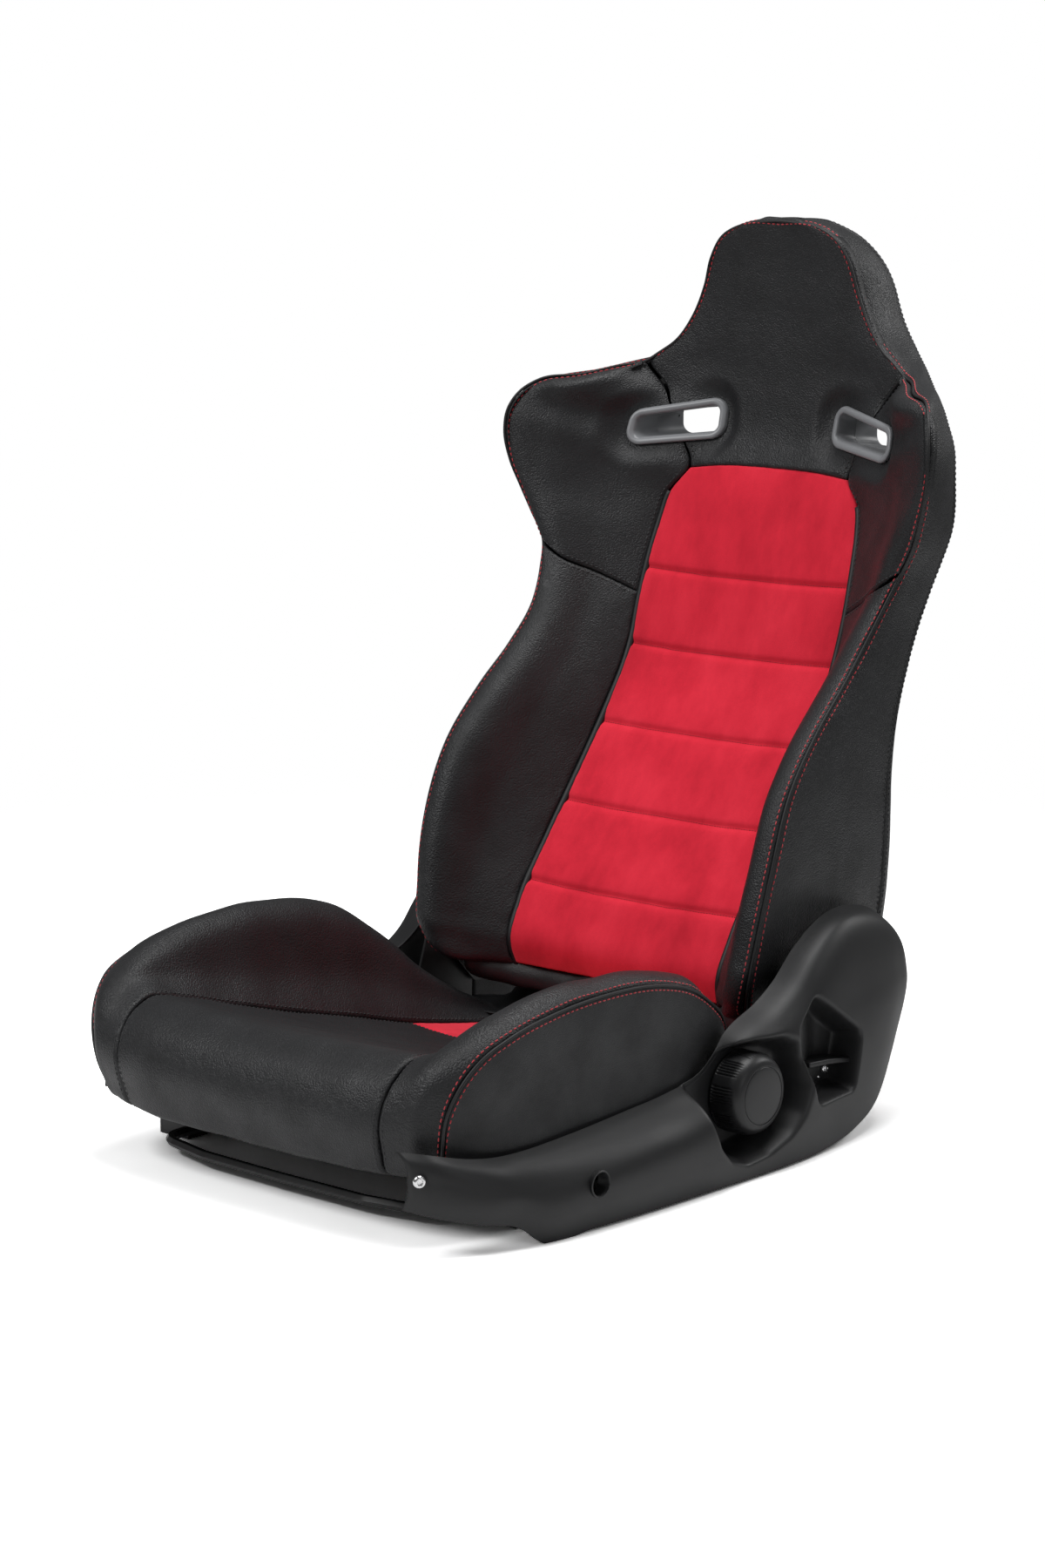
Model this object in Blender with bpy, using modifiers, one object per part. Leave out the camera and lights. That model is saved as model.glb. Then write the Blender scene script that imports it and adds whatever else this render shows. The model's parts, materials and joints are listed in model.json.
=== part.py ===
"""Reclining sports seat on slide rails, built as separate solids.

World frame, metres: +Z up, the seat faces -Y, +X is the sitter's left and carries the
dial and the lever. The floor is Z = 0 and the body of the seat is symmetric about X = 0.
"""

import math

import bmesh
import bpy
from mathutils import Matrix, Vector

# ----------------------------------------------------------------- driving dimensions
GAP = 0.0003                    # face to face clearance between touching pieces
CENTRE_SHIFT = 0.0083           # puts the middle of the whole seat over the origin

RAIL_X = 0.2225                 # centre line of each slide rail
RAIL_WIDTH = 0.041
RAIL_HEIGHT = 0.022
RAIL_SHEET = 0.0025
RAIL_FRONT_Y = -0.325
RAIL_REAR_Y = 0.115
RAIL_MOUTH = 0.018              # slot between the lips of the lower rail
UPPER_WEB = 0.012
UPPER_FLANGE = 0.030
UPPER_TOP_Z = 0.030
STOP_LENGTH = 0.006

HOUSING_RADIUS = 0.028          # recliner gear housing
PLATE = 0.003                   # pressed steel plates of frame and recliner
BASE_PLATE_X = 0.2385           # inner face of the base side plate
ARM_PLATE_X = 0.2325            # inner face of the recliner arm
HINGE_PLATE_X = 0.1915          # inner face of the backrest hinge plate
PIVOT_Y = 0.105
PIVOT_Z = 0.150
PIVOT_RADIUS = 0.006
PIVOT_CLEARANCE = 0.0002
BOLT_HEAD_RADIUS = 0.0085
BOLT_HEAD_HEIGHT = 0.0035
BOLT_END_X = 0.2440             # the bolt ends inside the recliner housing
LINK_Y = 0.158                  # tube that joins the two recliner arms
LINK_Z = 0.098
LINK_RADIUS = 0.009

TUBE_RADIUS = 0.011             # base and back frame tubes
BASE_FRONT_TUBE = (-0.290, 0.0458)
BASE_REAR_TUBE = (0.112, 0.0480)
WIRE_RADIUS = 0.0018

SHELL_THICKNESS = 0.0035        # sewn gusset and back panel of the backrest
SHELL_START = 0.009             # how far behind the edge seam the gusset begins
PAD_THICKNESS = 0.022           # foam behind the middle of the backrest

SLOT_CENTRE = (0.1235, 0.680)   # harness slot, in X and Z
SLOT_SIZE = (0.070, 0.032)
SLOT_CORNER = 0.011
SLEEVE_WALL = 0.0025
BEZEL_RIM = 0.0125
REAR_RIM = 0.0115
BEZEL_THICKNESS = 0.005
BEZEL_SLANT = math.radians(19.5)

SHIELD_WALL = 0.0028
KNOB_Y = -0.034
KNOB_Z = 0.078
KNOB_RADIUS = 0.041
KNOB_FACE_X = 0.3010
KNOB_BACK_X = 0.2650
KNOB_GROUPS = 9
KNOB_RIBS = 5
KNOB_RIB_DEPTH = 0.0016
KNOB_SHAFT_RADIUS = 0.006

SCREW_HEAD_RADIUS = 0.0055
SCREW_HEAD_HEIGHT = 0.0035
SCREW_HEX = 0.0045

LEVER_Y = 0.104                 # pivot of the fold release lever
LEVER_Z = 0.073
LEVER_X = 0.2620

FLAT, ROUND, SOFT = 0, 40, 180   # shading: angle up to which neighbours blend, in degrees

RED = (0.70, 0.030, 0.060, 1.0)
BLACK = (0.020, 0.020, 0.022, 1.0)
PLASTIC = (0.030, 0.030, 0.032, 1.0)
STEEL_BLACK = (0.035, 0.035, 0.038, 1.0)
CHROME = (0.70, 0.70, 0.70, 1.0)
GREY = (0.16, 0.165, 0.17, 1.0)


# ------------------------------------------------------------------ section stations
# Each backrest station holds the edge seam, the inner seam, the rear corner and the
# rear middle as (x, y, z). The inner seam is the edge of the red insert lower down.
def station(edge, inner, corner, rear_y):
    return {"edge": Vector(edge), "inner": Vector(inner), "corner": Vector(corner),
            "rear": Vector((0.0, rear_y, corner[2]))}


LOWER = [
    station((0.212, 0.046, 0.128), (0.140, 0.090, 0.118), (0.209, 0.243, 0.118), 0.257),
    station((0.227, 0.031, 0.160), (0.143, 0.083, 0.142), (0.216, 0.261, 0.152), 0.275),
    station((0.233, 0.036, 0.205), (0.145, 0.100, 0.185), (0.220, 0.270, 0.200), 0.288),
    station((0.238, 0.051, 0.270), (0.145, 0.145, 0.250), (0.223, 0.273, 0.270), 0.297),
    station((0.236, 0.084, 0.350), (0.142, 0.200, 0.328), (0.224, 0.274, 0.345), 0.308),
    station((0.232, 0.131, 0.405), (0.140, 0.238, 0.385), (0.224, 0.283, 0.405), 0.321),
    station((0.229, 0.177, 0.447), (0.139, 0.262, 0.425), (0.222, 0.299, 0.450), 0.336),
    station((0.229, 0.212, 0.485), (0.139, 0.275, 0.455), (0.224, 0.313, 0.492), 0.351),
    station((0.236, 0.234, 0.522), (0.140, 0.283, 0.480), (0.231, 0.324, 0.530), 0.364),
    station((0.245, 0.247, 0.553), (0.140, 0.289, 0.499), (0.240, 0.329, 0.560), 0.375),
]
WING = [
    LOWER[-1],
    station((0.260, 0.246, 0.580), (0.139, 0.297, 0.525), (0.251, 0.330, 0.590), 0.384),
    station((0.272, 0.241, 0.608), (0.137, 0.306, 0.552), (0.257, 0.326, 0.620), 0.393),
    station((0.283, 0.235, 0.638), (0.134, 0.315, 0.578), (0.258, 0.323, 0.650), 0.402),
    station((0.288, 0.232, 0.668), (0.128, 0.323, 0.606), (0.252, 0.329, 0.678), 0.409),
    station((0.286, 0.235, 0.692), (0.106, 0.333, 0.634), (0.236, 0.338, 0.700), 0.414),
    station((0.278, 0.245, 0.711), (0.117, 0.341, 0.662), (0.218, 0.353, 0.714), 0.419),
    station((0.262, 0.262, 0.726), (0.130, 0.344, 0.690), (0.198, 0.370, 0.726), 0.424),
    station((0.226, 0.289, 0.732), (0.146, 0.344, 0.715), (0.176, 0.390, 0.738), 0.429),
]
# Headrest stations: middle of the front face, side of the front face, rear corner.
HEAD = [
    ((0.0, 0.333, 0.634), (0.106, 0.333, 0.634)),
    ((0.0, 0.350, 0.662), (0.117, 0.341, 0.662)),
    ((0.0, 0.355, 0.690), (0.130, 0.344, 0.690)),
    ((0.0, 0.356, 0.715), (0.146, 0.344, 0.7155)),
    ((0.0, 0.355, 0.748), (0.178, 0.338, 0.747)),
    ((0.0, 0.353, 0.772), (0.142, 0.347, 0.768)),
    ((0.0, 0.352, 0.797), (0.121, 0.351, 0.794)),
    ((0.0, 0.351, 0.830), (0.105, 0.352, 0.828)),
    ((0.0, 0.350, 0.862), (0.095, 0.351, 0.858)),
    ((0.0, 0.350, 0.885), (0.078, 0.351, 0.879)),
    ((0.0, 0.351, 0.895), (0.045, 0.352, 0.891)),
]
# Shell stations above the wings: edge seam, rear corner, rear middle.
CROWN = [
    station((0.198, 0.322, 0.741), (0, 0, 0), (0.160, 0.404, 0.750), 0.433),
    station((0.168, 0.341, 0.751), (0, 0, 0), (0.140, 0.417, 0.766), 0.436),
    station((0.142, 0.348, 0.768), (0, 0, 0), (0.122, 0.425, 0.785), 0.438),
    station((0.121, 0.351, 0.794), (0, 0, 0), (0.108, 0.429, 0.810), 0.440),
    station((0.105, 0.352, 0.828), (0, 0, 0), (0.098, 0.427, 0.840), 0.439),
    station((0.095, 0.350, 0.858), (0, 0, 0), (0.086, 0.416, 0.866), 0.430),
    station((0.079, 0.348, 0.881), (0, 0, 0), (0.068, 0.402, 0.886), 0.416),
    station((0.046, 0.348, 0.896), (0, 0, 0), (0.040, 0.392, 0.899), 0.400),
]
# The shell's highest line, in Y and Z on the symmetry plane, from the front to the rear.
CROWN_RIDGE = [(0.360, 0.9015), (0.372, 0.9040), (0.384, 0.9040), (0.392, 0.9025), (0.3985, 0.9005)]

# Cushion stations from the rear edge forward and down the front face:
# middle, panel seam, crest, edge seam as (x, y, z), then underside y and z.
CUSHION = [
    ((0, 0.100, 0.060), (0.150, 0.100, 0.063), (0.192, 0.100, 0.068), (0.219, 0.099, 0.062),
     0.100, 0.040),
    ((0, 0.050, 0.058), (0.152, 0.050, 0.063), (0.196, 0.050, 0.092), (0.222, 0.048, 0.084),
     0.050, 0.040),
    ((0, 0.000, 0.064), (0.155, 0.000, 0.070), (0.206, 0.002, 0.128), (0.231, 0.000, 0.119),
     0.000, 0.041),
    ((0, -0.050, 0.073), (0.158, -0.050, 0.079), (0.220, -0.038, 0.166), (0.248, -0.036, 0.154),
     -0.045, 0.052),
    ((0, -0.095, 0.083), (0.160, -0.095, 0.090), (0.231, -0.085, 0.198), (0.257, -0.085, 0.1855),
     -0.090, 0.062),
    ((0, -0.150, 0.096), (0.162, -0.150, 0.103), (0.235, -0.145, 0.2125), (0.262, -0.145, 0.2025),
     -0.145, 0.062),
    ((0, -0.220, 0.113), (0.164, -0.220, 0.121), (0.235, -0.220, 0.2185), (0.262, -0.220, 0.2065),
     -0.210, 0.062),
    ((0, -0.290, 0.132), (0.168, -0.290, 0.140), (0.233, -0.290, 0.2140), (0.261, -0.290, 0.2010),
     -0.270, 0.062),
    ((0, -0.350, 0.150), (0.174, -0.350, 0.157), (0.231, -0.350, 0.2005), (0.260, -0.348, 0.1895),
     -0.320, 0.062),
    ((0, -0.400, 0.160), (0.179, -0.396, 0.166), (0.228, -0.394, 0.1810), (0.256, -0.385, 0.1730),
     -0.352, 0.062),
    ((0, -0.433, 0.142), (0.180, -0.427, 0.147), (0.224, -0.420, 0.155), (0.250, -0.403, 0.153),
     -0.372, 0.062),
    ((0, -0.447, 0.110), (0.178, -0.441, 0.114), (0.218, -0.432, 0.120), (0.242, -0.414, 0.124),
     -0.388, 0.062),
    ((0, -0.442, 0.080), (0.176, -0.437, 0.083), (0.214, -0.428, 0.088), (0.236, -0.413, 0.094),
     -0.400, 0.062),
    ((0, -0.430, 0.056), (0.174, -0.426, 0.058), (0.209, -0.418, 0.062), (0.229, -0.406, 0.070),
     -0.412, 0.060),
]
INSERT_ROWS = 4                 # the red cushion insert spans the first stations


# -------------------------------------------------------------------------- helpers
def clear_scene():
    for obj in list(bpy.data.objects):
        bpy.data.objects.remove(obj, do_unlink=True)
    for block in (bpy.data.meshes, bpy.data.curves, bpy.data.materials):
        for item in list(block):
            block.remove(item)


def material(name, colour, roughness, metallic=0.0):
    mat = bpy.data.materials.new(name)
    mat.use_nodes = True
    shader = mat.node_tree.nodes["Principled BSDF"]
    shader.inputs["Base Color"].default_value = colour
    shader.inputs["Roughness"].default_value = roughness
    shader.inputs["Metallic"].default_value = metallic
    mat.diffuse_color = colour
    return mat


class Builder:
    """Keeps the collections and materials, and adds finished pieces."""

    def __init__(self):
        clear_scene()
        self.parts = bpy.data.collections.new("sports_seat")
        self.tools = bpy.data.collections.new("cutters")
        bpy.context.scene.collection.children.link(self.parts)
        bpy.context.scene.collection.children.link(self.tools)
        self.looks = {
            "leather": (BLACK, 0.45, 0.0), "suede": (RED, 0.95, 0.0),
            "plastic": (PLASTIC, 0.50, 0.0), "steel": (STEEL_BLACK, 0.40, 0.6),
            "chrome": (CHROME, 0.15, 1.0), "trim": (GREY, 0.40, 0.0),
        }

    def piece(self, name, mesh, look, blend=FLAT):
        obj = bpy.data.objects.new(name, mesh)
        self.parts.objects.link(obj)
        colour, roughness, metallic = self.looks[look]
        mesh.materials.clear()
        mesh.materials.append(material(name + "_" + look, colour, roughness, metallic))
        for polygon in mesh.polygons:
            polygon.use_smooth = blend > FLAT
        if blend == ROUND:
            mesh.set_sharp_from_angle(angle=math.radians(ROUND))
        return obj

    def cutter(self, name, mesh):
        obj = bpy.data.objects.new(name, mesh)
        self.tools.objects.link(obj)
        obj.display_type = "WIRE"
        obj.hide_render = True
        return obj

    def boolean(self, obj, tool, operation="DIFFERENCE"):
        modifier = obj.modifiers.new(operation.lower(), "BOOLEAN")
        modifier.operation = operation
        modifier.solver = "EXACT"
        modifier.object = tool
        return modifier


def new_mesh(name, bm):
    """Mesh with its faces outwards, also for a half that is open at X = 0."""
    bmesh.ops.recalc_face_normals(bm, faces=bm.faces)
    if bm.calc_volume(signed=True) < 0:
        bmesh.ops.reverse_faces(bm, faces=bm.faces)
    mesh = bpy.data.meshes.new(name)
    bm.to_mesh(mesh)
    bm.free()
    return mesh


def box_mesh(name, low, high):
    bm = bmesh.new()
    low, high = Vector(low), Vector(high)
    size = high - low
    matrix = Matrix.Translation((low + high) / 2) @ Matrix.Diagonal((*size, 1.0))
    bmesh.ops.create_cube(bm, size=1.0, matrix=matrix)
    return new_mesh(name, bm)


def rod_mesh(name, start, end, radius, segments=24, end_radius=None):
    """Solid cylinder, or cone with end_radius, from start to end."""
    start, end = Vector(start), Vector(end)
    axis = end - start
    turn = axis.to_track_quat("Z", "Y").to_matrix().to_4x4()
    bm = bmesh.new()
    bmesh.ops.create_cone(
        bm, cap_ends=True, segments=segments, radius1=radius,
        radius2=radius if end_radius is None else end_radius, depth=axis.length,
        matrix=Matrix.Translation((start + end) / 2) @ turn)
    return new_mesh(name, bm)


def prism_mesh(name, outline, axis, low, high):
    """Extrude a closed outline along a world axis; outline is in the other two axes."""
    order = {"X": (1, 2, 0), "Y": (0, 2, 1)}[axis]
    bm = bmesh.new()
    rings = []
    for level in (low, high):
        ring = []
        for a, b in outline:
            point = [0.0, 0.0, 0.0]
            point[order[0]], point[order[1]], point[order[2]] = a, b, level
            ring.append(bm.verts.new(point))
        rings.append(ring)
    count = len(outline)
    for i in range(count):
        j = (i + 1) % count
        bm.faces.new((rings[0][i], rings[0][j], rings[1][j], rings[1][i]))
    bm.faces.new(rings[0])
    bm.faces.new(rings[1])
    return new_mesh(name, bm)


def rounded(points, radius, steps=4):
    """Round the corners of a closed polygon with arcs of the given radius."""
    result = []
    count = len(points)
    for i in range(count):
        before, here, after = (Vector(points[k % count]) for k in (i - 1, i, i + 1))
        back, ahead = (before - here).normalized(), (after - here).normalized()
        half = back.angle(ahead) / 2
        reach = min(radius / math.tan(half), (before - here).length * 0.49,
                    (after - here).length * 0.49)
        centre = here + (back + ahead).normalized() * (reach / math.cos(half))
        first, last = here + back * reach - centre, here + ahead * reach - centre
        for k in range(steps + 1):
            spoke = first.lerp(last, k / steps).normalized() * first.length
            result.append(tuple(centre + spoke))
    return result


def rounded_box(width, height, radius, centre=(0.0, 0.0), steps=4):
    w, h = width / 2, height / 2
    corners = [(-w, -h), (w, -h), (w, h), (-w, h)]
    points = [(x + centre[0], y + centre[1]) for x, y in corners]
    return rounded(points, radius, steps)


def loft_mesh(name, rings, sharp_columns=(), sharp_rows=(), closed_ends=True):
    """Cage through rings of equal length. Sharp columns and rows are fully creased."""
    bm = bmesh.new()
    crease = bm.edges.layers.float.new("crease_edge")
    rows = [[bm.verts.new(point) for point in ring] for ring in rings]
    count = len(rings[0])
    for a, b in zip(rows, rows[1:]):
        for i in range(count):
            j = (i + 1) % count
            bm.faces.new((a[i], a[j], b[j], b[i]))
    if closed_ends:
        bm.faces.new(rows[0])
        bm.faces.new(rows[-1])
    for column in sharp_columns:
        for a, b in zip(rows, rows[1:]):
            bm.edges.get((a[column], b[column]))[crease] = 1.0
    for index in sharp_rows:
        row = rows[index]
        for i in range(count):
            bm.edges.get((row[i], row[(i + 1) % count]))[crease] = 1.0
    return new_mesh(name, bm)


def sheet_mesh(name, rows):
    """Open sheet through rows of equal length."""
    bm = bmesh.new()
    grid = [[bm.verts.new(point) for point in row] for row in rows]
    for a, c in zip(grid, grid[1:]):
        for k in range(len(a) - 1):
            bm.faces.new((a[k], a[k + 1], c[k + 1], c[k]))
    return new_mesh(name, bm)


def soften(obj, levels=1):
    modifier = obj.modifiers.new("soft_form", "SUBSURF")
    modifier.levels = levels
    modifier.render_levels = levels
    return modifier


def mirror(obj):
    modifier = obj.modifiers.new("other_half", "MIRROR")
    modifier.use_axis = (True, False, False)
    modifier.use_clip = True
    modifier.merge_threshold = 0.00005
    return modifier


def flipped(points, side):
    return [Vector((p[0] * side, p[1], p[2])) for p in points]


def tube_mesh(name, points, radius, resolution=2, cyclic=False):
    """Round bar along straight runs between the points, as a mesh."""
    curve = bpy.data.curves.new(name, "CURVE")
    curve.dimensions = "3D"
    curve.bevel_depth = radius
    curve.bevel_resolution = resolution
    curve.use_fill_caps = True
    curve.render_resolution_u = 0
    spline = curve.splines.new("POLY")
    spline.points.add(len(points) - 1)
    for slot, point in zip(spline.points, points):
        slot.co = (*point, 1.0)
    spline.use_cyclic_u = cyclic
    holder = bpy.data.objects.new(name + "_curve", curve)
    bpy.context.scene.collection.objects.link(holder)
    graph = bpy.context.evaluated_depsgraph_get()
    mesh = bpy.data.meshes.new_from_object(holder.evaluated_get(graph))
    bpy.data.objects.remove(holder, do_unlink=True)
    bpy.data.curves.remove(curve)
    bm = bmesh.new()
    bm.from_mesh(mesh)
    bmesh.ops.remove_doubles(bm, verts=bm.verts, dist=0.00001)
    bmesh.ops.recalc_face_normals(bm, faces=bm.faces)
    bm.to_mesh(mesh)
    bm.free()
    return mesh


def bend(points, radius, steps=5):
    """Open route with its inner corners rounded."""
    route = [Vector(points[0])]
    for before, here, after in zip(points, points[1:], points[2:]):
        before, here, after = Vector(before), Vector(here), Vector(after)
        back, ahead = (before - here).normalized(), (after - here).normalized()
        half = back.angle(ahead) / 2
        reach = min(radius / math.tan(half), (before - here).length * 0.49,
                    (after - here).length * 0.49)
        start, end = here + back * reach, here + ahead * reach
        for k in range(steps + 1):
            t = k / steps
            route.append(start.lerp(here, t).lerp(here.lerp(end, t), t))
    route.append(Vector(points[-1]))
    return route


# ----------------------------------------------------------------------- slide rails
def lower_rail_outline(centre):
    w, m, t, h = RAIL_WIDTH / 2, RAIL_MOUTH / 2, RAIL_SHEET, RAIL_HEIGHT
    right = [(w, 0.0), (w, h), (m, h), (m, h - t), (w - t, h - t), (w - t, t)]
    left = [(-x, z) for x, z in reversed(right)]
    return [(centre + x, z) for x, z in right + left]


def upper_rail_outline(centre):
    web, flange = UPPER_WEB / 2, UPPER_FLANGE / 2
    low, high = RAIL_SHEET + 0.0017, RAIL_SHEET + 0.0057
    right = [(flange, low), (flange, high), (web, high), (web, UPPER_TOP_Z - 0.004),
             (flange, UPPER_TOP_Z - 0.004), (flange, UPPER_TOP_Z)]
    left = [(-x, z) for x, z in reversed(right)]
    return [(centre + x, z) for x, z in right + left]


def add_rails(b):
    for side, label in ((1, "left"), (-1, "right")):
        x = side * RAIL_X
        lower = prism_mesh("rail", lower_rail_outline(x), "Y", RAIL_FRONT_Y, RAIL_REAR_Y)
        b.piece("rail_lower_" + label, lower, "steel")
        upper = prism_mesh("slide", upper_rail_outline(x), "Y",
                           RAIL_FRONT_Y + STOP_LENGTH + 0.001, RAIL_REAR_Y - STOP_LENGTH - 0.001)
        b.piece("rail_upper_" + label, upper, "steel")
        stop_low = (x - RAIL_WIDTH / 2 + RAIL_SHEET + GAP, RAIL_FRONT_Y, RAIL_SHEET + GAP)
        stop_high = (x + RAIL_WIDTH / 2 - RAIL_SHEET - GAP, RAIL_FRONT_Y + STOP_LENGTH,
                     RAIL_HEIGHT - RAIL_SHEET - GAP)
        b.piece("rail_stop_" + label, box_mesh("stop", stop_low, stop_high), "steel")


# ------------------------------------------------------------------------ base frame
BASE_OUTLINE = [(-0.335, 0.0306), (0.095, 0.0306), (0.128, 0.048), (0.140, 0.110),
                (0.142, 0.160), (0.128, 0.186), (0.084, 0.186), (0.066, 0.160),
                (0.046, 0.098), (0.010, 0.062), (-0.020, 0.0605), (-0.335, 0.0605)]
ARM_OUTLINE = [(0.078, 0.130), (0.128, 0.078), (0.165, 0.080), (0.176, 0.100),
               (0.170, 0.116), (0.134, 0.140), (0.136, 0.165), (0.120, 0.181),
               (0.090, 0.181), (0.074, 0.165)]
HINGE_OUTLINE = [(0.085, 0.132), (0.125, 0.128), (0.196, 0.150), (0.218, 0.205),
                 (0.222, 0.285), (0.203, 0.290), (0.165, 0.215), (0.120, 0.184),
                 (0.088, 0.176)]


def plate_x(inner, side):
    return sorted((side * inner, side * (inner + PLATE)))


def pivot_cutter(b, name, y, z, radius):
    mesh = rod_mesh(name, (-0.40, y, z), (0.40, y, z), radius, 20)
    return b.cutter(name, mesh)


def add_base(b, cuts):
    foot_high = UPPER_TOP_Z + GAP + PLATE
    for side, label in ((1, "left"), (-1, "right")):
        low, high = plate_x(BASE_PLATE_X, side)
        plate = b.piece("base_side_plate_" + label,
                        prism_mesh("plate", rounded(BASE_OUTLINE, 0.010, 2), "X", low, high),
                        "steel")
        foot_x = sorted((side * (RAIL_X - UPPER_FLANGE / 2), side * (BASE_PLATE_X + 0.001)))
        foot = b.cutter("foot_" + label, box_mesh(
            "foot", (foot_x[0], -0.300, UPPER_TOP_Z + GAP), (foot_x[1], 0.090, foot_high)))
        b.boolean(plate, foot, "UNION")
        b.boolean(plate, cuts["pivot"])
        b.boolean(plate, cuts["front_tube"])
        b.boolean(plate, cuts["rear_tube"])
    reach = BASE_PLATE_X + PLATE
    for name, (y, z) in (("base_front_tube", BASE_FRONT_TUBE), ("base_rear_tube", BASE_REAR_TUBE)):
        b.piece(name, rod_mesh(name, (-reach, y, z), (reach, y, z), TUBE_RADIUS, 20),
                "steel", ROUND)
    pan = box_mesh("pan", (-0.215, -0.385, 0.0578), (0.215, -0.110, 0.0598))
    b.piece("cushion_pan", pan, "steel")
    for index, y in enumerate((-0.070, 0.000, 0.070)):
        route = []
        for step in range(15):
            swing = 0.012 if step % 2 else -0.012
            route.append((-0.210 + 0.030 * step, y + swing, 0.0365))
        mesh = tube_mesh("spring", route, WIRE_RADIUS, 1)
        b.piece("cushion_spring_%d" % (index + 1), mesh, "steel", ROUND)
    for side, label in ((1, "left"), (-1, "right")):
        low, high = sorted((side * 0.2125, side * 0.2155))
        mesh = box_mesh("rail", (low, -0.105, 0.0340), (high, 0.092, 0.0390))
        b.piece("spring_rail_" + label, mesh, "steel")


def add_recliner(b, cuts):
    for side, label in ((1, "left"), (-1, "right")):
        low, high = plate_x(ARM_PLATE_X, side)
        arm = b.piece("recliner_arm_" + label,
                      prism_mesh("arm", rounded(ARM_OUTLINE, 0.010, 2), "X", low, high), "steel")
        b.boolean(arm, cuts["pivot"])
        b.boolean(arm, cuts["link"])
        head_x = HINGE_PLATE_X - GAP
        profile = [(head_x - BOLT_HEAD_HEIGHT, 0.0), (head_x - BOLT_HEAD_HEIGHT, BOLT_HEAD_RADIUS),
                   (head_x, BOLT_HEAD_RADIUS), (head_x, PIVOT_RADIUS),
                   (BOLT_END_X, PIVOT_RADIUS), (BOLT_END_X, 0.0)]
        bolt = turned_mesh("bolt", [(side * x, radius) for x, radius in profile],
                           PIVOT_Y, PIVOT_Z, 20)
        b.piece("pivot_bolt_" + label, bolt, "chrome", ROUND)
        far_low, far_high = sorted((side * (BASE_PLATE_X + PLATE + GAP), side * 0.2600))
        centre_line = [(PIVOT_Y, PIVOT_Z)] if side < 0 else [(PIVOT_Y, PIVOT_Z), (KNOB_Y, KNOB_Z)]
        housing_mesh = housing_outline(centre_line, far_low, far_high)
        housing = b.piece("recliner_housing_" + label, housing_mesh, "steel")
        b.boolean(housing, cuts["knob_shaft"])
        pocket = b.cutter("bolt_pocket_" + label, rod_mesh(
            "pocket", (side * 0.2300, PIVOT_Y, PIVOT_Z), (side * (BOLT_END_X + 0.001), PIVOT_Y, PIVOT_Z),
            PIVOT_RADIUS + PIVOT_CLEARANCE, 20))
        b.boolean(housing, pocket)
    link = rod_mesh("link", (-ARM_PLATE_X - PLATE, LINK_Y, LINK_Z),
                    (ARM_PLATE_X + PLATE, LINK_Y, LINK_Z), LINK_RADIUS, 20)
    b.piece("recliner_link_tube", link, "steel", ROUND)


def housing_outline(centres, low, high):
    """Flat housing around one boss, or a stadium around two."""
    radius = HOUSING_RADIUS
    outline = []
    if len(centres) == 1:
        radius *= 0.72
        for k in range(24):
            angle = 2 * math.pi * k / 24
            outline.append((centres[0][0] + radius * math.cos(angle),
                            centres[0][1] + radius * math.sin(angle)))
    else:
        first, second = Vector(centres[0]), Vector(centres[1])
        heading = math.atan2(*(first - second).yx)
        for centre, start in ((first, heading - math.pi / 2), (second, heading + math.pi / 2)):
            for k in range(11):
                angle = start + math.pi * k / 10
                outline.append((centre.x + radius * 0.8 * math.cos(angle),
                                centre.y + radius * 0.8 * math.sin(angle)))
    return prism_mesh("housing", outline, "X", low, high)


# ---------------------------------------------------------------------------- knob
def knob_outline():
    """Circle with groups of fine ribs between smooth flats, in Y and Z."""
    outline = []
    for group in range(KNOB_GROUPS):
        start = 2 * math.pi * group / KNOB_GROUPS
        span = 2 * math.pi / KNOB_GROUPS
        for rib in range(KNOB_RIBS):
            for part, depth in ((0.0, 0.0), (0.5, KNOB_RIB_DEPTH)):
                angle = start + span * (0.72 * (rib + part) / KNOB_RIBS)
                outline.append((angle, KNOB_RADIUS - depth))
        for part in (0.72, 0.86):
            outline.append((start + span * part, KNOB_RADIUS))
    return [(KNOB_Y + r * math.cos(a), KNOB_Z + r * math.sin(a)) for a, r in outline]


def turned_mesh(name, profile, centre_y, centre_z, steps=36):
    """Turn a profile of (x, radius) about the X axis through the centre."""
    bm = bmesh.new()
    previous = None
    for x, radius in profile:
        if radius < 1e-7:
            ring = [bm.verts.new((x, centre_y, centre_z))]
        else:
            ring = []
            for k in range(steps):
                angle = 2 * math.pi * k / steps
                ring.append(bm.verts.new((x, centre_y + radius * math.cos(angle),
                                          centre_z + radius * math.sin(angle))))
        if previous is not None:
            longer, shorter = (ring, previous) if len(ring) > len(previous) else (previous, ring)
            for k in range(len(longer)):
                nxt = (k + 1) % len(longer)
                if len(shorter) == 1:
                    bm.faces.new((longer[k], longer[nxt], shorter[0]))
                else:
                    bm.faces.new((longer[k], longer[nxt], shorter[nxt], shorter[k]))
        previous = ring
    return new_mesh(name, bm)


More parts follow.
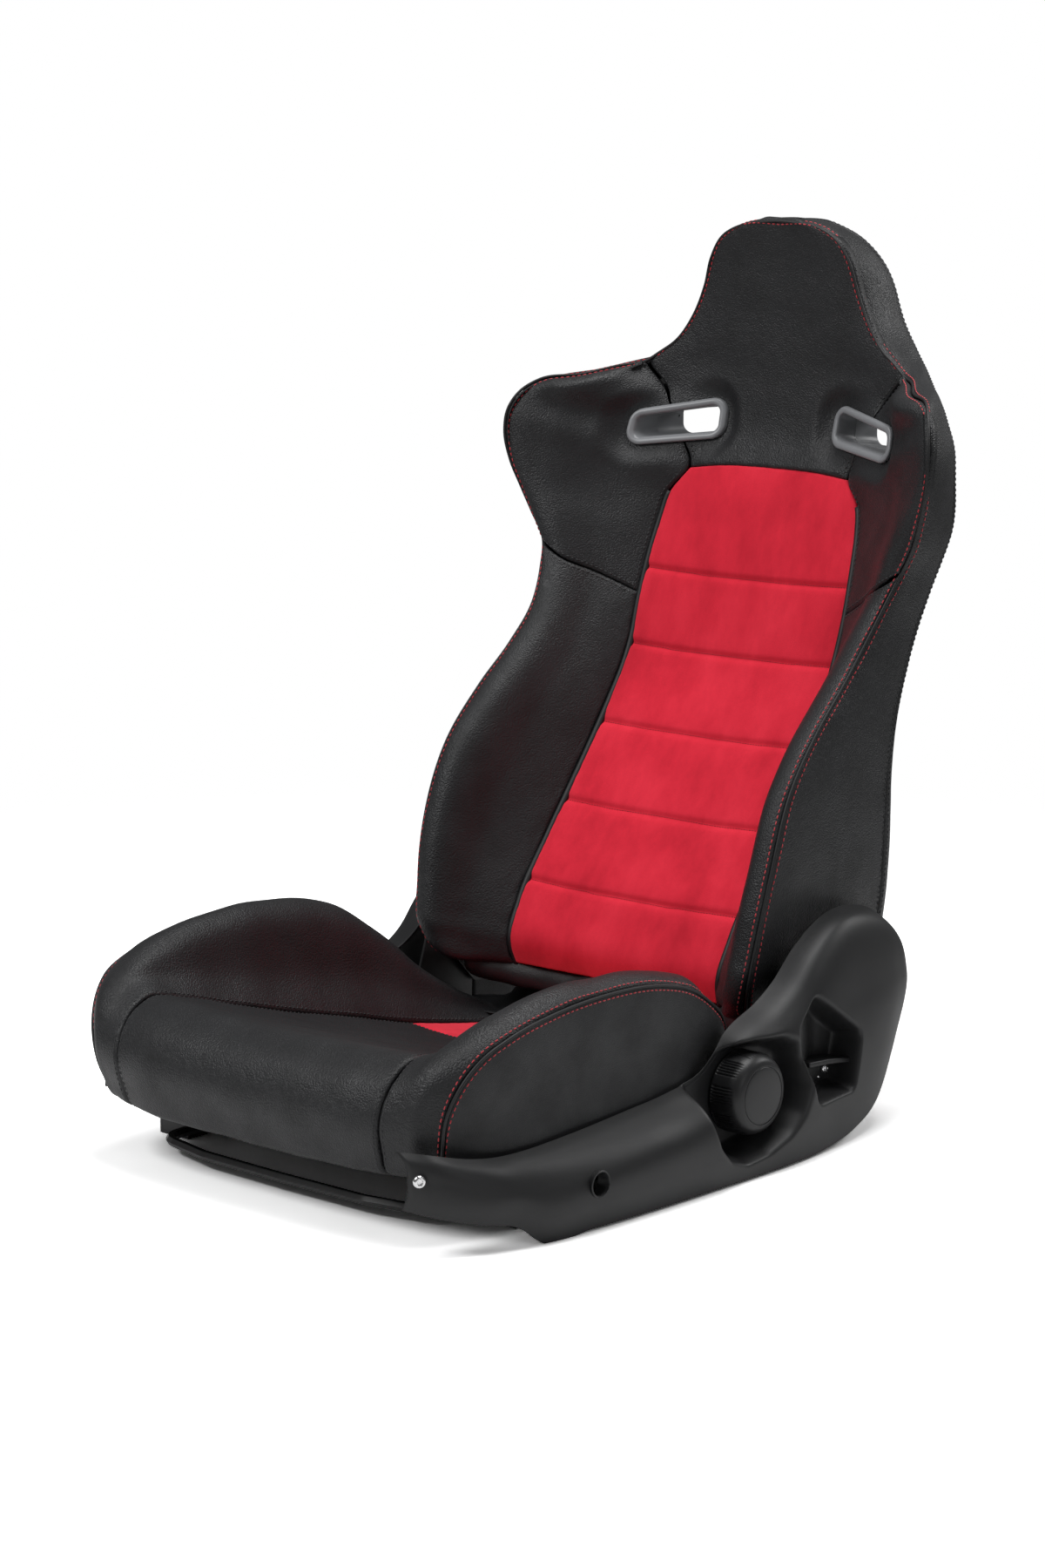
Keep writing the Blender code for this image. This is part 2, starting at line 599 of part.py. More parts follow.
def add_knob(b, cuts):
    grip = b.piece("recline_knob", prism_mesh(
        "knob", knob_outline(), "X", KNOB_BACK_X, KNOB_FACE_X + 0.002), "plastic")
    face_radius = KNOB_RADIUS * 0.78
    back, front = KNOB_BACK_X - 0.001, KNOB_FACE_X
    profile = [(back, 0.0), (back, KNOB_RADIUS + 0.004), (front - 0.0140, KNOB_RADIUS + 0.004),
               (front - 0.0105, KNOB_RADIUS - 0.0005), (front - 0.0060, face_radius + 0.004),
               (front - 0.0030, face_radius), (front - 0.0036, face_radius - 0.0012),
               (front - 0.0024, face_radius - 0.0024), (front - 0.0006, face_radius * 0.55),
               (front, 0.0)]
    dome = b.cutter("knob_dome", turned_mesh("dome", profile, KNOB_Y, KNOB_Z))
    b.boolean(grip, dome, "INTERSECT")
    b.boolean(grip, cuts["knob_bore"])
    shaft = rod_mesh("shaft", (BASE_PLATE_X + PLATE + GAP, KNOB_Y, KNOB_Z),
                     (KNOB_BACK_X + 0.014, KNOB_Y, KNOB_Z), KNOB_SHAFT_RADIUS, 20)
    b.piece("knob_shaft", shaft, "chrome", ROUND)


# ---------------------------------------------------------------------- side shields
# Each shield station: distance along Y, then (x, z) from the top edge to the hem.
SHIELD = [
    (-0.451, [(0.212, 0.094), (0.221, 0.088), (0.226, 0.070), (0.225, 0.053), (0.219, 0.041)]),
    (-0.438, [(0.236, 0.093), (0.245, 0.086), (0.251, 0.067), (0.251, 0.048), (0.246, 0.036)]),
    (-0.400, [(0.256, 0.085), (0.267, 0.078), (0.277, 0.058), (0.278, 0.040), (0.272, 0.026)]),
    (-0.365, [(0.261, 0.081), (0.273, 0.075), (0.288, 0.055), (0.290, 0.036), (0.285, 0.018)]),
    (-0.345, [(0.263, 0.081), (0.276, 0.075), (0.293, 0.053), (0.297, 0.028), (0.290, 0.002)]),
    (-0.280, [(0.265, 0.084), (0.279, 0.078), (0.301, 0.056), (0.306, 0.028), (0.299, 0.002)]),
    (-0.200, [(0.265, 0.090), (0.280, 0.084), (0.305, 0.062), (0.310, 0.030), (0.303, 0.002)]),
    (-0.135, [(0.265, 0.096), (0.280, 0.091), (0.306, 0.068), (0.311, 0.032), (0.304, 0.002)]),
    (-0.085, [(0.264, 0.106), (0.281, 0.102), (0.306, 0.080), (0.311, 0.034), (0.304, 0.002)]),
    (-0.045, [(0.260, 0.138), (0.281, 0.132), (0.306, 0.098), (0.311, 0.036), (0.304, 0.002)]),
    (0.005, [(0.257, 0.157), (0.281, 0.150), (0.305, 0.106), (0.310, 0.038), (0.303, 0.002)]),
    (0.035, [(0.254, 0.172), (0.279, 0.166), (0.303, 0.112), (0.308, 0.044), (0.301, 0.002)]),
    (0.070, [(0.251, 0.199), (0.276, 0.193), (0.299, 0.126), (0.304, 0.054), (0.298, 0.004)]),
    (0.125, [(0.248, 0.225), (0.271, 0.219), (0.292, 0.140), (0.297, 0.064), (0.291, 0.012)]),
    (0.175, [(0.247, 0.226), (0.267, 0.217), (0.286, 0.148), (0.288, 0.083), (0.280, 0.030)]),
    (0.212, [(0.247, 0.212), (0.263, 0.203), (0.278, 0.152), (0.277, 0.107), (0.268, 0.064)]),
    (0.238, [(0.247, 0.188), (0.258, 0.181), (0.268, 0.153), (0.267, 0.127), (0.259, 0.100)]),
    (0.248, [(0.247, 0.168), (0.252, 0.164), (0.258, 0.150), (0.258, 0.139), (0.254, 0.129)]),
]
# The shield without the dial starts behind the cushion's front roll, with a blunt nose.
SHIELD_NOSE = [
    (-0.290, [(0.2580, 0.066), (0.2605, 0.063), (0.2630, 0.048), (0.2635, 0.030), (0.260, 0.010)]),
    (-0.282, [(0.2615, 0.077), (0.2700, 0.072), (0.2800, 0.053), (0.2815, 0.029), (0.276, 0.005)]),
    (-0.264, [(0.2640, 0.084), (0.2765, 0.079), (0.2950, 0.057), (0.2985, 0.028), (0.292, 0.002)]),
    (-0.236, [(0.2650, 0.087), (0.2795, 0.081), (0.3030, 0.060), (0.3080, 0.029), (0.301, 0.002)]),
]
SHIELD_LOW = [
    (-0.045, [(0.260, 0.109), (0.281, 0.104), (0.306, 0.084), (0.311, 0.036), (0.304, 0.002)]),
    (0.005, [(0.257, 0.120), (0.281, 0.115), (0.305, 0.091), (0.310, 0.038), (0.303, 0.002)]),
    (0.035, [(0.254, 0.131), (0.279, 0.126), (0.303, 0.098), (0.308, 0.044), (0.301, 0.002)]),
    (0.065, [(0.252, 0.153), (0.277, 0.148), (0.299, 0.111), (0.304, 0.052), (0.298, 0.004)]),
    (0.092, [(0.251, 0.190), (0.275, 0.184), (0.296, 0.130), (0.301, 0.058), (0.296, 0.007)]),
    (0.130, [(0.249, 0.208), (0.272, 0.201), (0.291, 0.140), (0.295, 0.068), (0.289, 0.015)]),
    (0.180, [(0.247, 0.200), (0.266, 0.191), (0.282, 0.138), (0.285, 0.083), (0.276, 0.036)]),
    (0.210, [(0.247, 0.174), (0.258, 0.168), (0.268, 0.136), (0.268, 0.105), (0.262, 0.074)]),
    (0.222, [(0.247, 0.154), (0.252, 0.150), (0.257, 0.134), (0.257, 0.120), (0.253, 0.106)]),
]
SHIELDS = {1: SHIELD, -1: SHIELD_NOSE + SHIELD[6:9] + SHIELD_LOW}
RECESS = [(-0.122, 0.100), (-0.113, 0.066), (-0.105, 0.044), (-0.088, 0.026), (-0.064, 0.019),
          (-0.032, 0.023), (0.000, 0.034), (0.023, 0.052), (0.036, 0.076), (0.037, 0.103),
          (0.027, 0.120), (0.004, 0.130), (-0.030, 0.131), (-0.062, 0.129), (-0.095, 0.121)]
WINDOW = [(0.064, 0.155), (0.040, 0.130), (0.068, 0.057), (0.128, 0.056), (0.138, 0.110)]
SHIELD_HOLE = {1: (-0.279, 0.045), -1: (-0.215, 0.045)}
SHIELD_HOLE_RADIUS = 0.0115
SHIELD_SCREW = {1: (0.2350, -0.446, 0.071), -1: (0.2812, -0.2752, 0.052)}
SHIELD_SCREW_HEADING = {1: (0.86, -0.51, 0.0), -1: (0.72, -0.68, 0.10)}


def add_shields(b):
    for side, label in ((1, "left"), (-1, "right")):
        mesh = sheet_mesh("shield", [[(side * x, y, z) for x, z in points]
                                     for y, points in SHIELDS[side]])
        shield = b.piece("side_shield_" + label, mesh, "plastic", SOFT)
        outward = sum(polygon.normal.x * side for polygon in mesh.polygons) > 0
        soften(shield)
        wall = shield.modifiers.new("wall", "SOLIDIFY")
        wall.thickness = SHIELD_WALL
        wall.offset = -1.0 if outward else 1.0
        wall.use_even_offset = True
        if side > 0:
            opening = prism_mesh("opening", RECESS, "X", 0.262, 0.340)
            b.boolean(shield, b.cutter("dial_recess", opening))
            window = prism_mesh("window", rounded(WINDOW, 0.008, 3), "X", 0.262, 0.340)
            b.boolean(shield, b.cutter("lever_window", window))
        hole = rod_mesh("hole", (side * 0.270, *SHIELD_HOLE[side]),
                        (side * 0.330, *SHIELD_HOLE[side]), SHIELD_HOLE_RADIUS, 24)
        b.boolean(shield, b.cutter("shield_hole_" + label, hole))
        heading = Vector(flipped([SHIELD_SCREW_HEADING[side]], side)[0]).normalized()
        seat = Vector(flipped([SHIELD_SCREW[side]], side)[0])
        bore = rod_mesh("bore", seat - heading * 0.030, seat + heading * 0.030, 0.0033, 16)
        b.boolean(shield, b.cutter("screw_bore_" + label, bore))
        add_screw(b, "shield_screw_" + label, seat + heading * 0.0046, heading, 0.014)


def add_screw(b, name, seat, heading, length):
    """Button head screw with a hexagon socket; seat is the underside of the head."""
    crown = seat + heading * SCREW_HEAD_HEIGHT
    head = b.piece(name, rod_mesh("head", seat, crown, SCREW_HEAD_RADIUS, 20,
                                  SCREW_HEAD_RADIUS * 0.72), "chrome", ROUND)
    shank = b.cutter(name + "_shank", rod_mesh(
        "shank", seat - heading * length, seat + heading * 0.001, 0.0029, 16))
    b.boolean(head, shank, "UNION")
    socket = b.cutter(name + "_socket", rod_mesh(
        "socket", crown - heading * 0.0022, crown + heading * 0.002, SCREW_HEX / 2 * 1.15, 6))
    b.boolean(head, socket)
    return head


# ----------------------------------------------------------------- fold release lever
LEVER_OUTLINE = [(0.086, 0.0885), (0.089, 0.064), (0.120, 0.058), (0.138, 0.062),
                 (0.150, 0.0785), (0.100, 0.0880)]


def add_lever(b):
    blade = b.piece("fold_release_lever", prism_mesh(
        "blade", rounded(LEVER_OUTLINE, 0.003, 2), "X", LEVER_X, LEVER_X + PLATE), "plastic")
    lip_outline = [(0.086, 0.0870), (0.101, 0.0848), (0.151, 0.0760), (0.152, 0.0800),
                   (0.101, 0.0890), (0.086, 0.0912)]
    lip = b.cutter("lever_lip", prism_mesh("lip", lip_outline, "X", LEVER_X, LEVER_X + 0.020))
    b.boolean(blade, lip, "UNION")
    bore = b.cutter("lever_bore", rod_mesh(
        "bore", (LEVER_X - 0.01, LEVER_Y, LEVER_Z), (LEVER_X + 0.01, LEVER_Y, LEVER_Z), 0.0034, 20))
    b.boolean(blade, bore)
    add_screw(b, "lever_screw", Vector((LEVER_X + PLATE + GAP, LEVER_Y, LEVER_Z)),
              Vector((1, 0, 0)), 0.0200)
    spacer = b.piece("lever_spacer", rod_mesh(
        "spacer", (BASE_PLATE_X + PLATE + GAP, LEVER_Y, LEVER_Z),
        (LEVER_X - GAP, LEVER_Y, LEVER_Z), 0.007, 20), "steel", ROUND)
    bore = b.cutter("spacer_bore", rod_mesh(
        "bore", (BASE_PLATE_X, LEVER_Y, LEVER_Z), (LEVER_X + 0.01, LEVER_Y, LEVER_Z), 0.0032, 20))
    b.boolean(spacer, bore)


# --------------------------------------------------------------------- cushion pieces
def cushion_ring(row, side_part):
    middle, seam, crest, edge, under_y, under_z = row
    if side_part:
        flank = Vector(seam).lerp(Vector(crest), 0.45)
        flank.z -= 0.10 * (crest[2] - seam[2])
        inner = seam[0] + GAP
        tuck = 0.003 if under_y < -0.08 else 0.012
        return [(inner, seam[1], seam[2]), flank, crest, edge,
                (edge[0] - tuck, (edge[1] + under_y) / 2, (edge[2] + under_z) / 2),
                (edge[0] - tuck - 0.006, under_y, under_z), (inner, under_y, under_z)]
    outer = seam[0] - GAP
    return [(0.0, middle[1], middle[2]), (outer * 0.55, middle[1], middle[2] + 0.001),
            (outer, seam[1], seam[2]), (outer, under_y, under_z), (0.0, under_y, under_z)]


def half_loft(name, rings, sharp_columns=(), sharp_rows=()):
    """Cage of the half at X >= 0, open at the symmetry plane."""
    bm = bmesh.new()
    crease = bm.edges.layers.float.new("crease_edge")
    rows = [[bm.verts.new(point) for point in ring] for ring in rings]
    for a, c in zip(rows, rows[1:]):
        for k in range(len(a) - 1):
            bm.faces.new((a[k], a[k + 1], c[k + 1], c[k]))
    bm.faces.new(rows[0])
    bm.faces.new(rows[-1])
    for column in sharp_columns:
        for a, c in zip(rows, rows[1:]):
            bm.edges.get((a[column], c[column]))[crease] = 1.0
    for index in sharp_rows:
        row = rows[index]
        for k in range(len(row) - 1):
            bm.edges.get((row[k], row[k + 1]))[crease] = 1.0
    return new_mesh(name, bm)


def shifted(rings, offset):
    """Move the first ring by an offset so two pieces keep their clearance."""
    first = [Vector(point) + Vector(offset) for point in rings[0]]
    return [first] + rings[1:]


def add_cushion(b):
    split = INSERT_ROWS - 1
    insert = [cushion_ring(row, False) for row in CUSHION[:split + 1]]
    centre = [cushion_ring(row, False) for row in CUSHION[split:]]
    centre = shifted(centre, (0.0, -2 * GAP, 0.0))
    red = b.piece("cushion_insert", half_loft("insert", insert, (2, 3), (0, -1)), "suede", SOFT)
    front = b.piece("cushion_front_panel", half_loft("panel", centre, (2, 3), (0,)),
                    "leather", SOFT)
    for obj in (red, front):
        mirror(obj)
        soften(obj)
    rings = [cushion_ring(row, True) for row in CUSHION]
    for side, label in ((1, "left"), (-1, "right")):
        cage = [flipped(ring, side) for ring in rings]
        bolster = b.piece("cushion_bolster_" + label, loft_mesh("bolster", cage, (0, 6), (0,)),
                          "leather", SOFT)
        soften(bolster)


# -------------------------------------------------------------------- backrest pieces
def pad_ring(row, narrow):
    inner, edge, corner = row["inner"], row["edge"], row["corner"]
    depth = max(edge.y + 0.050, corner.y - 0.057)
    flank = inner.lerp(edge, 0.38)
    flank.y = inner.y + (edge.y - inner.y) * 0.52
    crest = inner.lerp(edge, 0.76)
    crest.y = edge.y - 0.007
    side_x = 0.187 if narrow else edge.x - 0.026
    back_x = 0.170 if narrow else min(side_x - 0.008, corner.x - 0.020)
    seam_x = inner.x + GAP
    return [Vector((seam_x, inner.y, inner.z)), flank, crest, edge.copy(),
            Vector((edge.x - 0.012, edge.y + 0.016, edge.z)),
            Vector((side_x, edge.y + 0.040, (edge.z + corner.z) / 2)),
            Vector((back_x, depth, corner.z)),
            Vector((seam_x, inner.y + PAD_THICKNESS, inner.z))]


def add_backrest_pads(b, cuts):
    lower = [pad_ring(row, index < 6) for index, row in enumerate(LOWER)]
    upper = shifted([pad_ring(row, False) for row in WING], (0.0, 0.0, 2 * GAP))
    for point in upper[-1][2:6]:
        point -= Vector((0.005, 0.002, 0.006))      # keeps the wing's crown inside the cover
    for side, label in ((1, "left"), (-1, "right")):
        cage = [flipped(ring, side) for ring in lower]
        bolster = b.piece("back_bolster_" + label, loft_mesh("bolster", cage, (0, 7), (0, -1)),
                          "leather", SOFT)
        soften(bolster)
        cage = [flipped(ring, side) for ring in upper]
        wing = b.piece("shoulder_wing_" + label, loft_mesh("wing", cage, (0, 7), (0, -1)),
                       "leather", SOFT)
        soften(wing)
        for name in ("sleeve_", "bezel_"):
            b.boolean(wing, cuts[name + label])
    rows = [row["inner"] for row in LOWER] + [row["inner"] for row in WING[1:6]]
    rings = []
    for point in rows:
        x, y, z = point.x - GAP, point.y, point.z
        rings.append([(0.0, y + 0.003, z), (x * 0.6, y + 0.001, z), (x, y, z),
                      (x, y + PAD_THICKNESS, z), (0.0, y + PAD_THICKNESS, z)])
    insert = b.piece("back_insert", half_loft("insert", rings, (2, 3), (0, -1)), "suede", SOFT)
    mirror(insert)
    soften(insert)
    rings = []
    for index, (middle, border) in enumerate(HEAD):
        x = border[0] - GAP
        beside_wing = index < 4
        inset = 0.0 if beside_wing else 0.013
        back = border[1] + (PAD_THICKNESS if beside_wing else 0.045)
        lift = 2 * GAP if index == 0 else 0.0
        rings.append([(0.0, middle[1], middle[2] + lift), (x * 0.55, middle[1], middle[2] + lift),
                      (x, border[1], border[2] + lift),
                      (x - inset, (border[1] + back) / 2, border[2] + lift),
                      (x - 2 * inset, back, border[2] + lift), (0.0, back, middle[2] + lift)])
    head = b.piece("headrest_pad", half_loft("head", rings, (), (0,)), "leather", SOFT)
    mirror(head)
    soften(head)
    for name in ("sleeve_", "bezel_"):
        for label in ("left", "right"):
            b.boolean(head, cuts[name + label])


def shell_row(row):
    edge, corner, rear = row["edge"], row["corner"], row["rear"]
    start = Vector((edge.x - 0.0005, edge.y + SHELL_START, edge.z))
    side = start.lerp(corner, 0.5)
    mid = Vector((corner.x * 0.58, corner.y + (rear.y - corner.y) * 0.72, corner.z))
    return [start, side, corner, mid, Vector((0.0, rear.y, corner.z))]


def add_backrest_shell(b, cuts):
    chosen = LOWER[:2] + LOWER[3::2] + WING[2:3] + WING[4:] + CROWN[:4:2] + CROWN[4:]
    rows = [shell_row(row) for row in chosen]
    rows.append([Vector((0.0, y, z)) for y, z in CROWN_RIDGE])
    mesh = sheet_mesh("shell", rows)
    outward = sum(p.normal.y * p.area for p in mesh.polygons) > 0
    shell = b.piece("back_cover", mesh, "leather", SOFT)
    mirror(shell)
    soften(shell)
    wall = shell.modifiers.new("wall", "SOLIDIFY")
    wall.thickness = SHELL_THICKNESS
    wall.offset = -1.0 if outward else 1.0
    for label in ("left", "right"):
        b.boolean(shell, cuts["sleeve_" + label])
        b.boolean(shell, cuts["rear_bezel_" + label])
    b.boolean(shell, cuts["notch"])


# ---------------------------------------------------------------------- harness slots
def slot_outline(side, grow, radius):
    return rounded_box(SLOT_SIZE[0] + 2 * grow, SLOT_SIZE[1] + 2 * grow, radius,
                       (side * SLOT_CENTRE[0], SLOT_CENTRE[1]))


def sheared(mesh, side):
    """Slant the two end faces of a prism along Y to follow the backrest."""
    slope = math.tan(BEZEL_SLANT)
    for vertex in mesh.vertices:
        vertex.co.y -= (side * vertex.co.x - SLOT_CENTRE[0]) * slope
    return mesh


SLOT_FRONT_Y = 0.3395
SLOT_REAR_Y = 0.3950


def add_slots(b, cuts):
    outer = SLEEVE_WALL
    for side, label in ((1, "left"), (-1, "right")):
        flange = sheared(prism_mesh("flange", slot_outline(side, BEZEL_RIM, SLOT_CORNER + 0.009),
                                    "Y", SLOT_FRONT_Y - BEZEL_THICKNESS, SLOT_FRONT_Y), side)
        bezel = b.piece("slot_bezel_" + label, flange, "trim")
        sleeve = sheared(prism_mesh("sleeve", slot_outline(side, outer, SLOT_CORNER + outer), "Y",
                                    SLOT_FRONT_Y - 0.002, SLOT_REAR_Y + 0.0035), side)
        b.boolean(bezel, b.cutter("sleeve_body_" + label, sleeve), "UNION")
        bore = sheared(prism_mesh("bore", slot_outline(side, 0.0, SLOT_CORNER), "Y",
                                  SLOT_FRONT_Y - 0.02, SLOT_REAR_Y + 0.02), side)
        b.boolean(bezel, b.cutter("sleeve_bore_" + label, bore))
        outline = slot_outline(side, REAR_RIM, SLOT_CORNER + 0.008)
        ring = sheared(prism_mesh("ring", outline, "Y", SLOT_REAR_Y, SLOT_REAR_Y + 0.004), side)
        rear = b.piece("slot_rear_ring_" + label, ring, "trim")
        b.boolean(rear, cuts["sleeve_" + label])


def slot_cutters(b):
    cuts = {}
    clear = SLEEVE_WALL + GAP
    for side, label in ((1, "left"), (-1, "right")):
        sleeve = sheared(prism_mesh("sleeve_cut", slot_outline(side, clear, SLOT_CORNER + clear),
                                    "Y", SLOT_FRONT_Y - 0.05, SLOT_REAR_Y + 0.05), side)
        cuts["sleeve_" + label] = b.cutter("sleeve_cut_" + label, sleeve)
        outline = slot_outline(side, BEZEL_RIM + GAP, SLOT_CORNER + 0.009)
        bezel = sheared(prism_mesh("bezel_cut", outline, "Y", SLOT_FRONT_Y - 0.05,
                                   SLOT_FRONT_Y + GAP), side)
        cuts["bezel_" + label] = b.cutter("bezel_cut_" + label, bezel)
        outline = slot_outline(side, REAR_RIM + GAP, SLOT_CORNER + 0.008)
        rear = sheared(prism_mesh("rear_cut", outline, "Y", SLOT_REAR_Y - GAP,
                                  SLOT_REAR_Y + 0.05), side)
        cuts["rear_bezel_" + label] = b.cutter("rear_bezel_cut_" + label, rear)
    return cuts


# --------------------------------------------------------------------- backrest frame
HOOP = [(0.180, 0.214, 0.140), (0.180, 0.230, 0.200), (0.180, 0.238, 0.270),
        (0.180, 0.245, 0.350), (0.181, 0.258, 0.405), (0.181, 0.274, 0.450),
        (0.182, 0.2925, 0.490), (0.182, 0.3115, 0.530), (0.182, 0.321, 0.560),
        (0.182, 0.3285, 0.600), (0.182, 0.333, 0.640), (0.183, 0.340, 0.690),
        (0.180, 0.3475, 0.704), (0.172, 0.3570, 0.715), (0.160, 0.3675, 0.7215),
        (0.144, 0.3790, 0.728), (0.125, 0.3875, 0.733), (0.090, 0.3940, 0.737),
        (0.0, 0.3995, 0.737)]
HOOP_RADIUS = 0.009
LOWER_CROSS = (0.231, 0.205)
LOWER_CROSS_RADIUS = 0.008
UPPER_CROSS = [(0.1722, 0.3290, 0.600), (0.150, 0.3420, 0.600), (0.120, 0.3525, 0.600),
               (0.060, 0.3575, 0.600), (0.0, 0.3585, 0.600)]
UPPER_CROSS_RADIUS = 0.005


def add_back_frame(b, cuts):
    for name, points, radius in (("back_frame_hoop", HOOP, HOOP_RADIUS),
                                 ("back_cross_tube_upper", UPPER_CROSS, UPPER_CROSS_RADIUS)):
        half = [Vector(point) for point in points]
        route = half + flipped(list(reversed(half[:-1])), -1)
        b.piece(name, tube_mesh(name, route, radius, 2), "steel", ROUND)
    reach = HOOP[2][0] - HOOP_RADIUS - GAP
    lower = rod_mesh("tube", (-reach, *LOWER_CROSS), (reach, *LOWER_CROSS), LOWER_CROSS_RADIUS, 16)
    b.piece("back_cross_tube_lower", lower, "steel", ROUND)
    post = [(0.045, 0.4045, 0.7510), (0.045, 0.4065, 0.800), (0.045, 0.4045, 0.858),
            (-0.045, 0.4045, 0.858), (-0.045, 0.4065, 0.800), (-0.045, 0.4045, 0.7510)]
    b.piece("headrest_loop", tube_mesh("loop", bend(post, 0.022, 3), 0.004, 1), "steel", ROUND)
    for index, (y, z) in enumerate(((0.212, 0.275), (0.275, 0.380), (0.3305, 0.520))):
        route = []
        for step in range(13):
            swing = 0.010 if step % 2 else -0.010
            x = -0.162 + 0.027 * step
            route.append((x, y + swing * 0.35 - 20.0 * x ** 4, z + swing))
        mesh = tube_mesh("spring", route, WIRE_RADIUS, 1)
        b.piece("back_spring_%d" % (index + 1), mesh, "steel", ROUND)
    for side, label in ((1, "left"), (-1, "right")):
        low, high = plate_x(HINGE_PLATE_X, side)
        plate = b.piece("back_hinge_plate_" + label,
                        prism_mesh("plate", rounded(HINGE_OUTLINE, 0.008, 2), "X", low, high),
                        "steel")
        b.boolean(plate, cuts["pivot"])
        spacer = b.piece("hinge_spacer_" + label, rod_mesh(
            "spacer", (side * (HINGE_PLATE_X + PLATE + GAP), PIVOT_Y, PIVOT_Z),
            (side * (ARM_PLATE_X - GAP), PIVOT_Y, PIVOT_Z), 0.011, 20), "steel", ROUND)
        b.boolean(spacer, cuts["pivot"])


# --------------------------------------------------------------------- rail release bar
RELEASE_AXIS = (-0.180, 0.0140)   # the bar rocks about its rear ends, in Y and Z
RELEASE_X = RAIL_X - 0.034
RELEASE_HALF = [(RELEASE_X, *RELEASE_AXIS), (RELEASE_X, -0.370, 0.0140),
                (0.110, -0.388, 0.0150), (0.0, -0.390, 0.0150)]
RELEASE_RADIUS = 0.005


def add_release_bar(b):
    half = [Vector(point) for point in RELEASE_HALF]
    route = half + flipped(list(reversed(half[:-1])), -1)
    b.piece("slide_release_bar", tube_mesh("bar", bend(route, 0.030, 4), RELEASE_RADIUS, 1),
            "steel", ROUND)


# ------------------------------------------------------------------- joints and place
def joint_empty(b, name, location, prefixes):
    """Empty on a joint axis that carries the pieces whose names start so."""
    empty = bpy.data.objects.new(name, None)
    empty.location = location
    b.parts.objects.link(empty)
    for obj in b.parts.objects:
        if obj.type == "MESH" and obj.name.startswith(prefixes):
            obj.parent = empty
            obj.matrix_parent_inverse = Matrix.Translation(location).inverted()
    return empty


def place(b):
    joint_empty(b, "backrest_pivot", (0.0, PIVOT_Y, PIVOT_Z),
                ("back_", "shoulder_", "headrest_", "slot_", "hinge_"))
    joint_empty(b, "recline_pivot", (0.0, PIVOT_Y, PIVOT_Z), ("recliner_arm", "recliner_link"))
    joint_empty(b, "knob_axis", (KNOB_BACK_X, KNOB_Y, KNOB_Z), ("recline_knob", "knob_shaft"))
    joint_empty(b, "lever_axis", (LEVER_X, LEVER_Y, LEVER_Z), ("fold_release_lever",))
    joint_empty(b, "release_axis", (0.0, *RELEASE_AXIS), ("slide_release_bar",))
    origin = bpy.data.objects.new("seat_origin", None)
    b.parts.objects.link(origin)
    for obj in list(b.parts.objects) + list(b.tools.objects):
        if obj.parent is None and obj is not origin:
            obj.parent = origin
    origin.location.y = CENTRE_SHIFT


def main():
    b = Builder()
    cuts = slot_cutters(b)
    cuts["pivot"] = pivot_cutter(b, "pivot_cut", PIVOT_Y, PIVOT_Z,
                                 PIVOT_RADIUS + PIVOT_CLEARANCE)
    cuts["link"] = pivot_cutter(b, "link_cut", LINK_Y, LINK_Z, LINK_RADIUS + GAP)
    cuts["front_tube"] = pivot_cutter(b, "front_tube_cut", *BASE_FRONT_TUBE, TUBE_RADIUS + GAP)
    cuts["rear_tube"] = pivot_cutter(b, "rear_tube_cut", *BASE_REAR_TUBE, TUBE_RADIUS + GAP)
    cuts["knob_shaft"] = b.cutter("knob_shaft_cut", rod_mesh(
        "cut", (0.200, KNOB_Y, KNOB_Z), (0.300, KNOB_Y, KNOB_Z), KNOB_SHAFT_RADIUS + 0.0004, 24))
    cuts["knob_bore"] = b.cutter("knob_bore_cut", rod_mesh(
        "cut", (0.200, KNOB_Y, KNOB_Z), (KNOB_BACK_X + 0.0145, KNOB_Y, KNOB_Z),
        KNOB_SHAFT_RADIUS + GAP, 24))
    notch_low, notch_high = (-0.30, 0.080, 0.080), (0.30, 0.130, 0.176)
    cuts["notch"] = b.cutter("shell_notch", box_mesh("notch", notch_low, notch_high))
    add_rails(b)
    add_base(b, cuts)
    add_recliner(b, cuts)
    add_knob(b, cuts)
    add_shields(b)
    add_lever(b)
    add_cushion(b)
    add_backrest_pads(b, cuts)
    add_backrest_shell(b, cuts)
    add_slots(b, cuts)
    add_back_frame(b, cuts)
    add_release_bar(b)
    place(b)


main()
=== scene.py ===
"""Looks of the reclining sports seat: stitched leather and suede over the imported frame."""

import json
import math

import bmesh
import bpy
import numpy as np
from mathutils import Matrix, Vector


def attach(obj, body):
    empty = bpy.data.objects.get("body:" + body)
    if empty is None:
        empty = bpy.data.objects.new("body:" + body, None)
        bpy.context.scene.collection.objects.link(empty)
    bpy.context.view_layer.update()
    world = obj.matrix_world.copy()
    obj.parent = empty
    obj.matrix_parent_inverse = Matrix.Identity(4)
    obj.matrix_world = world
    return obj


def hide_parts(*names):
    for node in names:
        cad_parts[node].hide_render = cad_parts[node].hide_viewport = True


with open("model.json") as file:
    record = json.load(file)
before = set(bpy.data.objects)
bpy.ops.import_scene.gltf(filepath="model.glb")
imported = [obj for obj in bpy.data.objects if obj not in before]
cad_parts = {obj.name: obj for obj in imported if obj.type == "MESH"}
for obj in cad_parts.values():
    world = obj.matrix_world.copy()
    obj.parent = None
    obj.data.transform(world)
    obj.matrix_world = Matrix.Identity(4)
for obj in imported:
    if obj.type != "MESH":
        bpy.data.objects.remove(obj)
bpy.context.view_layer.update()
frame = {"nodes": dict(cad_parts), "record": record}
NODES = frame["nodes"]
SHIFT = 0.0083          # the tables below are in the seat's own Y, the frame is this much behind


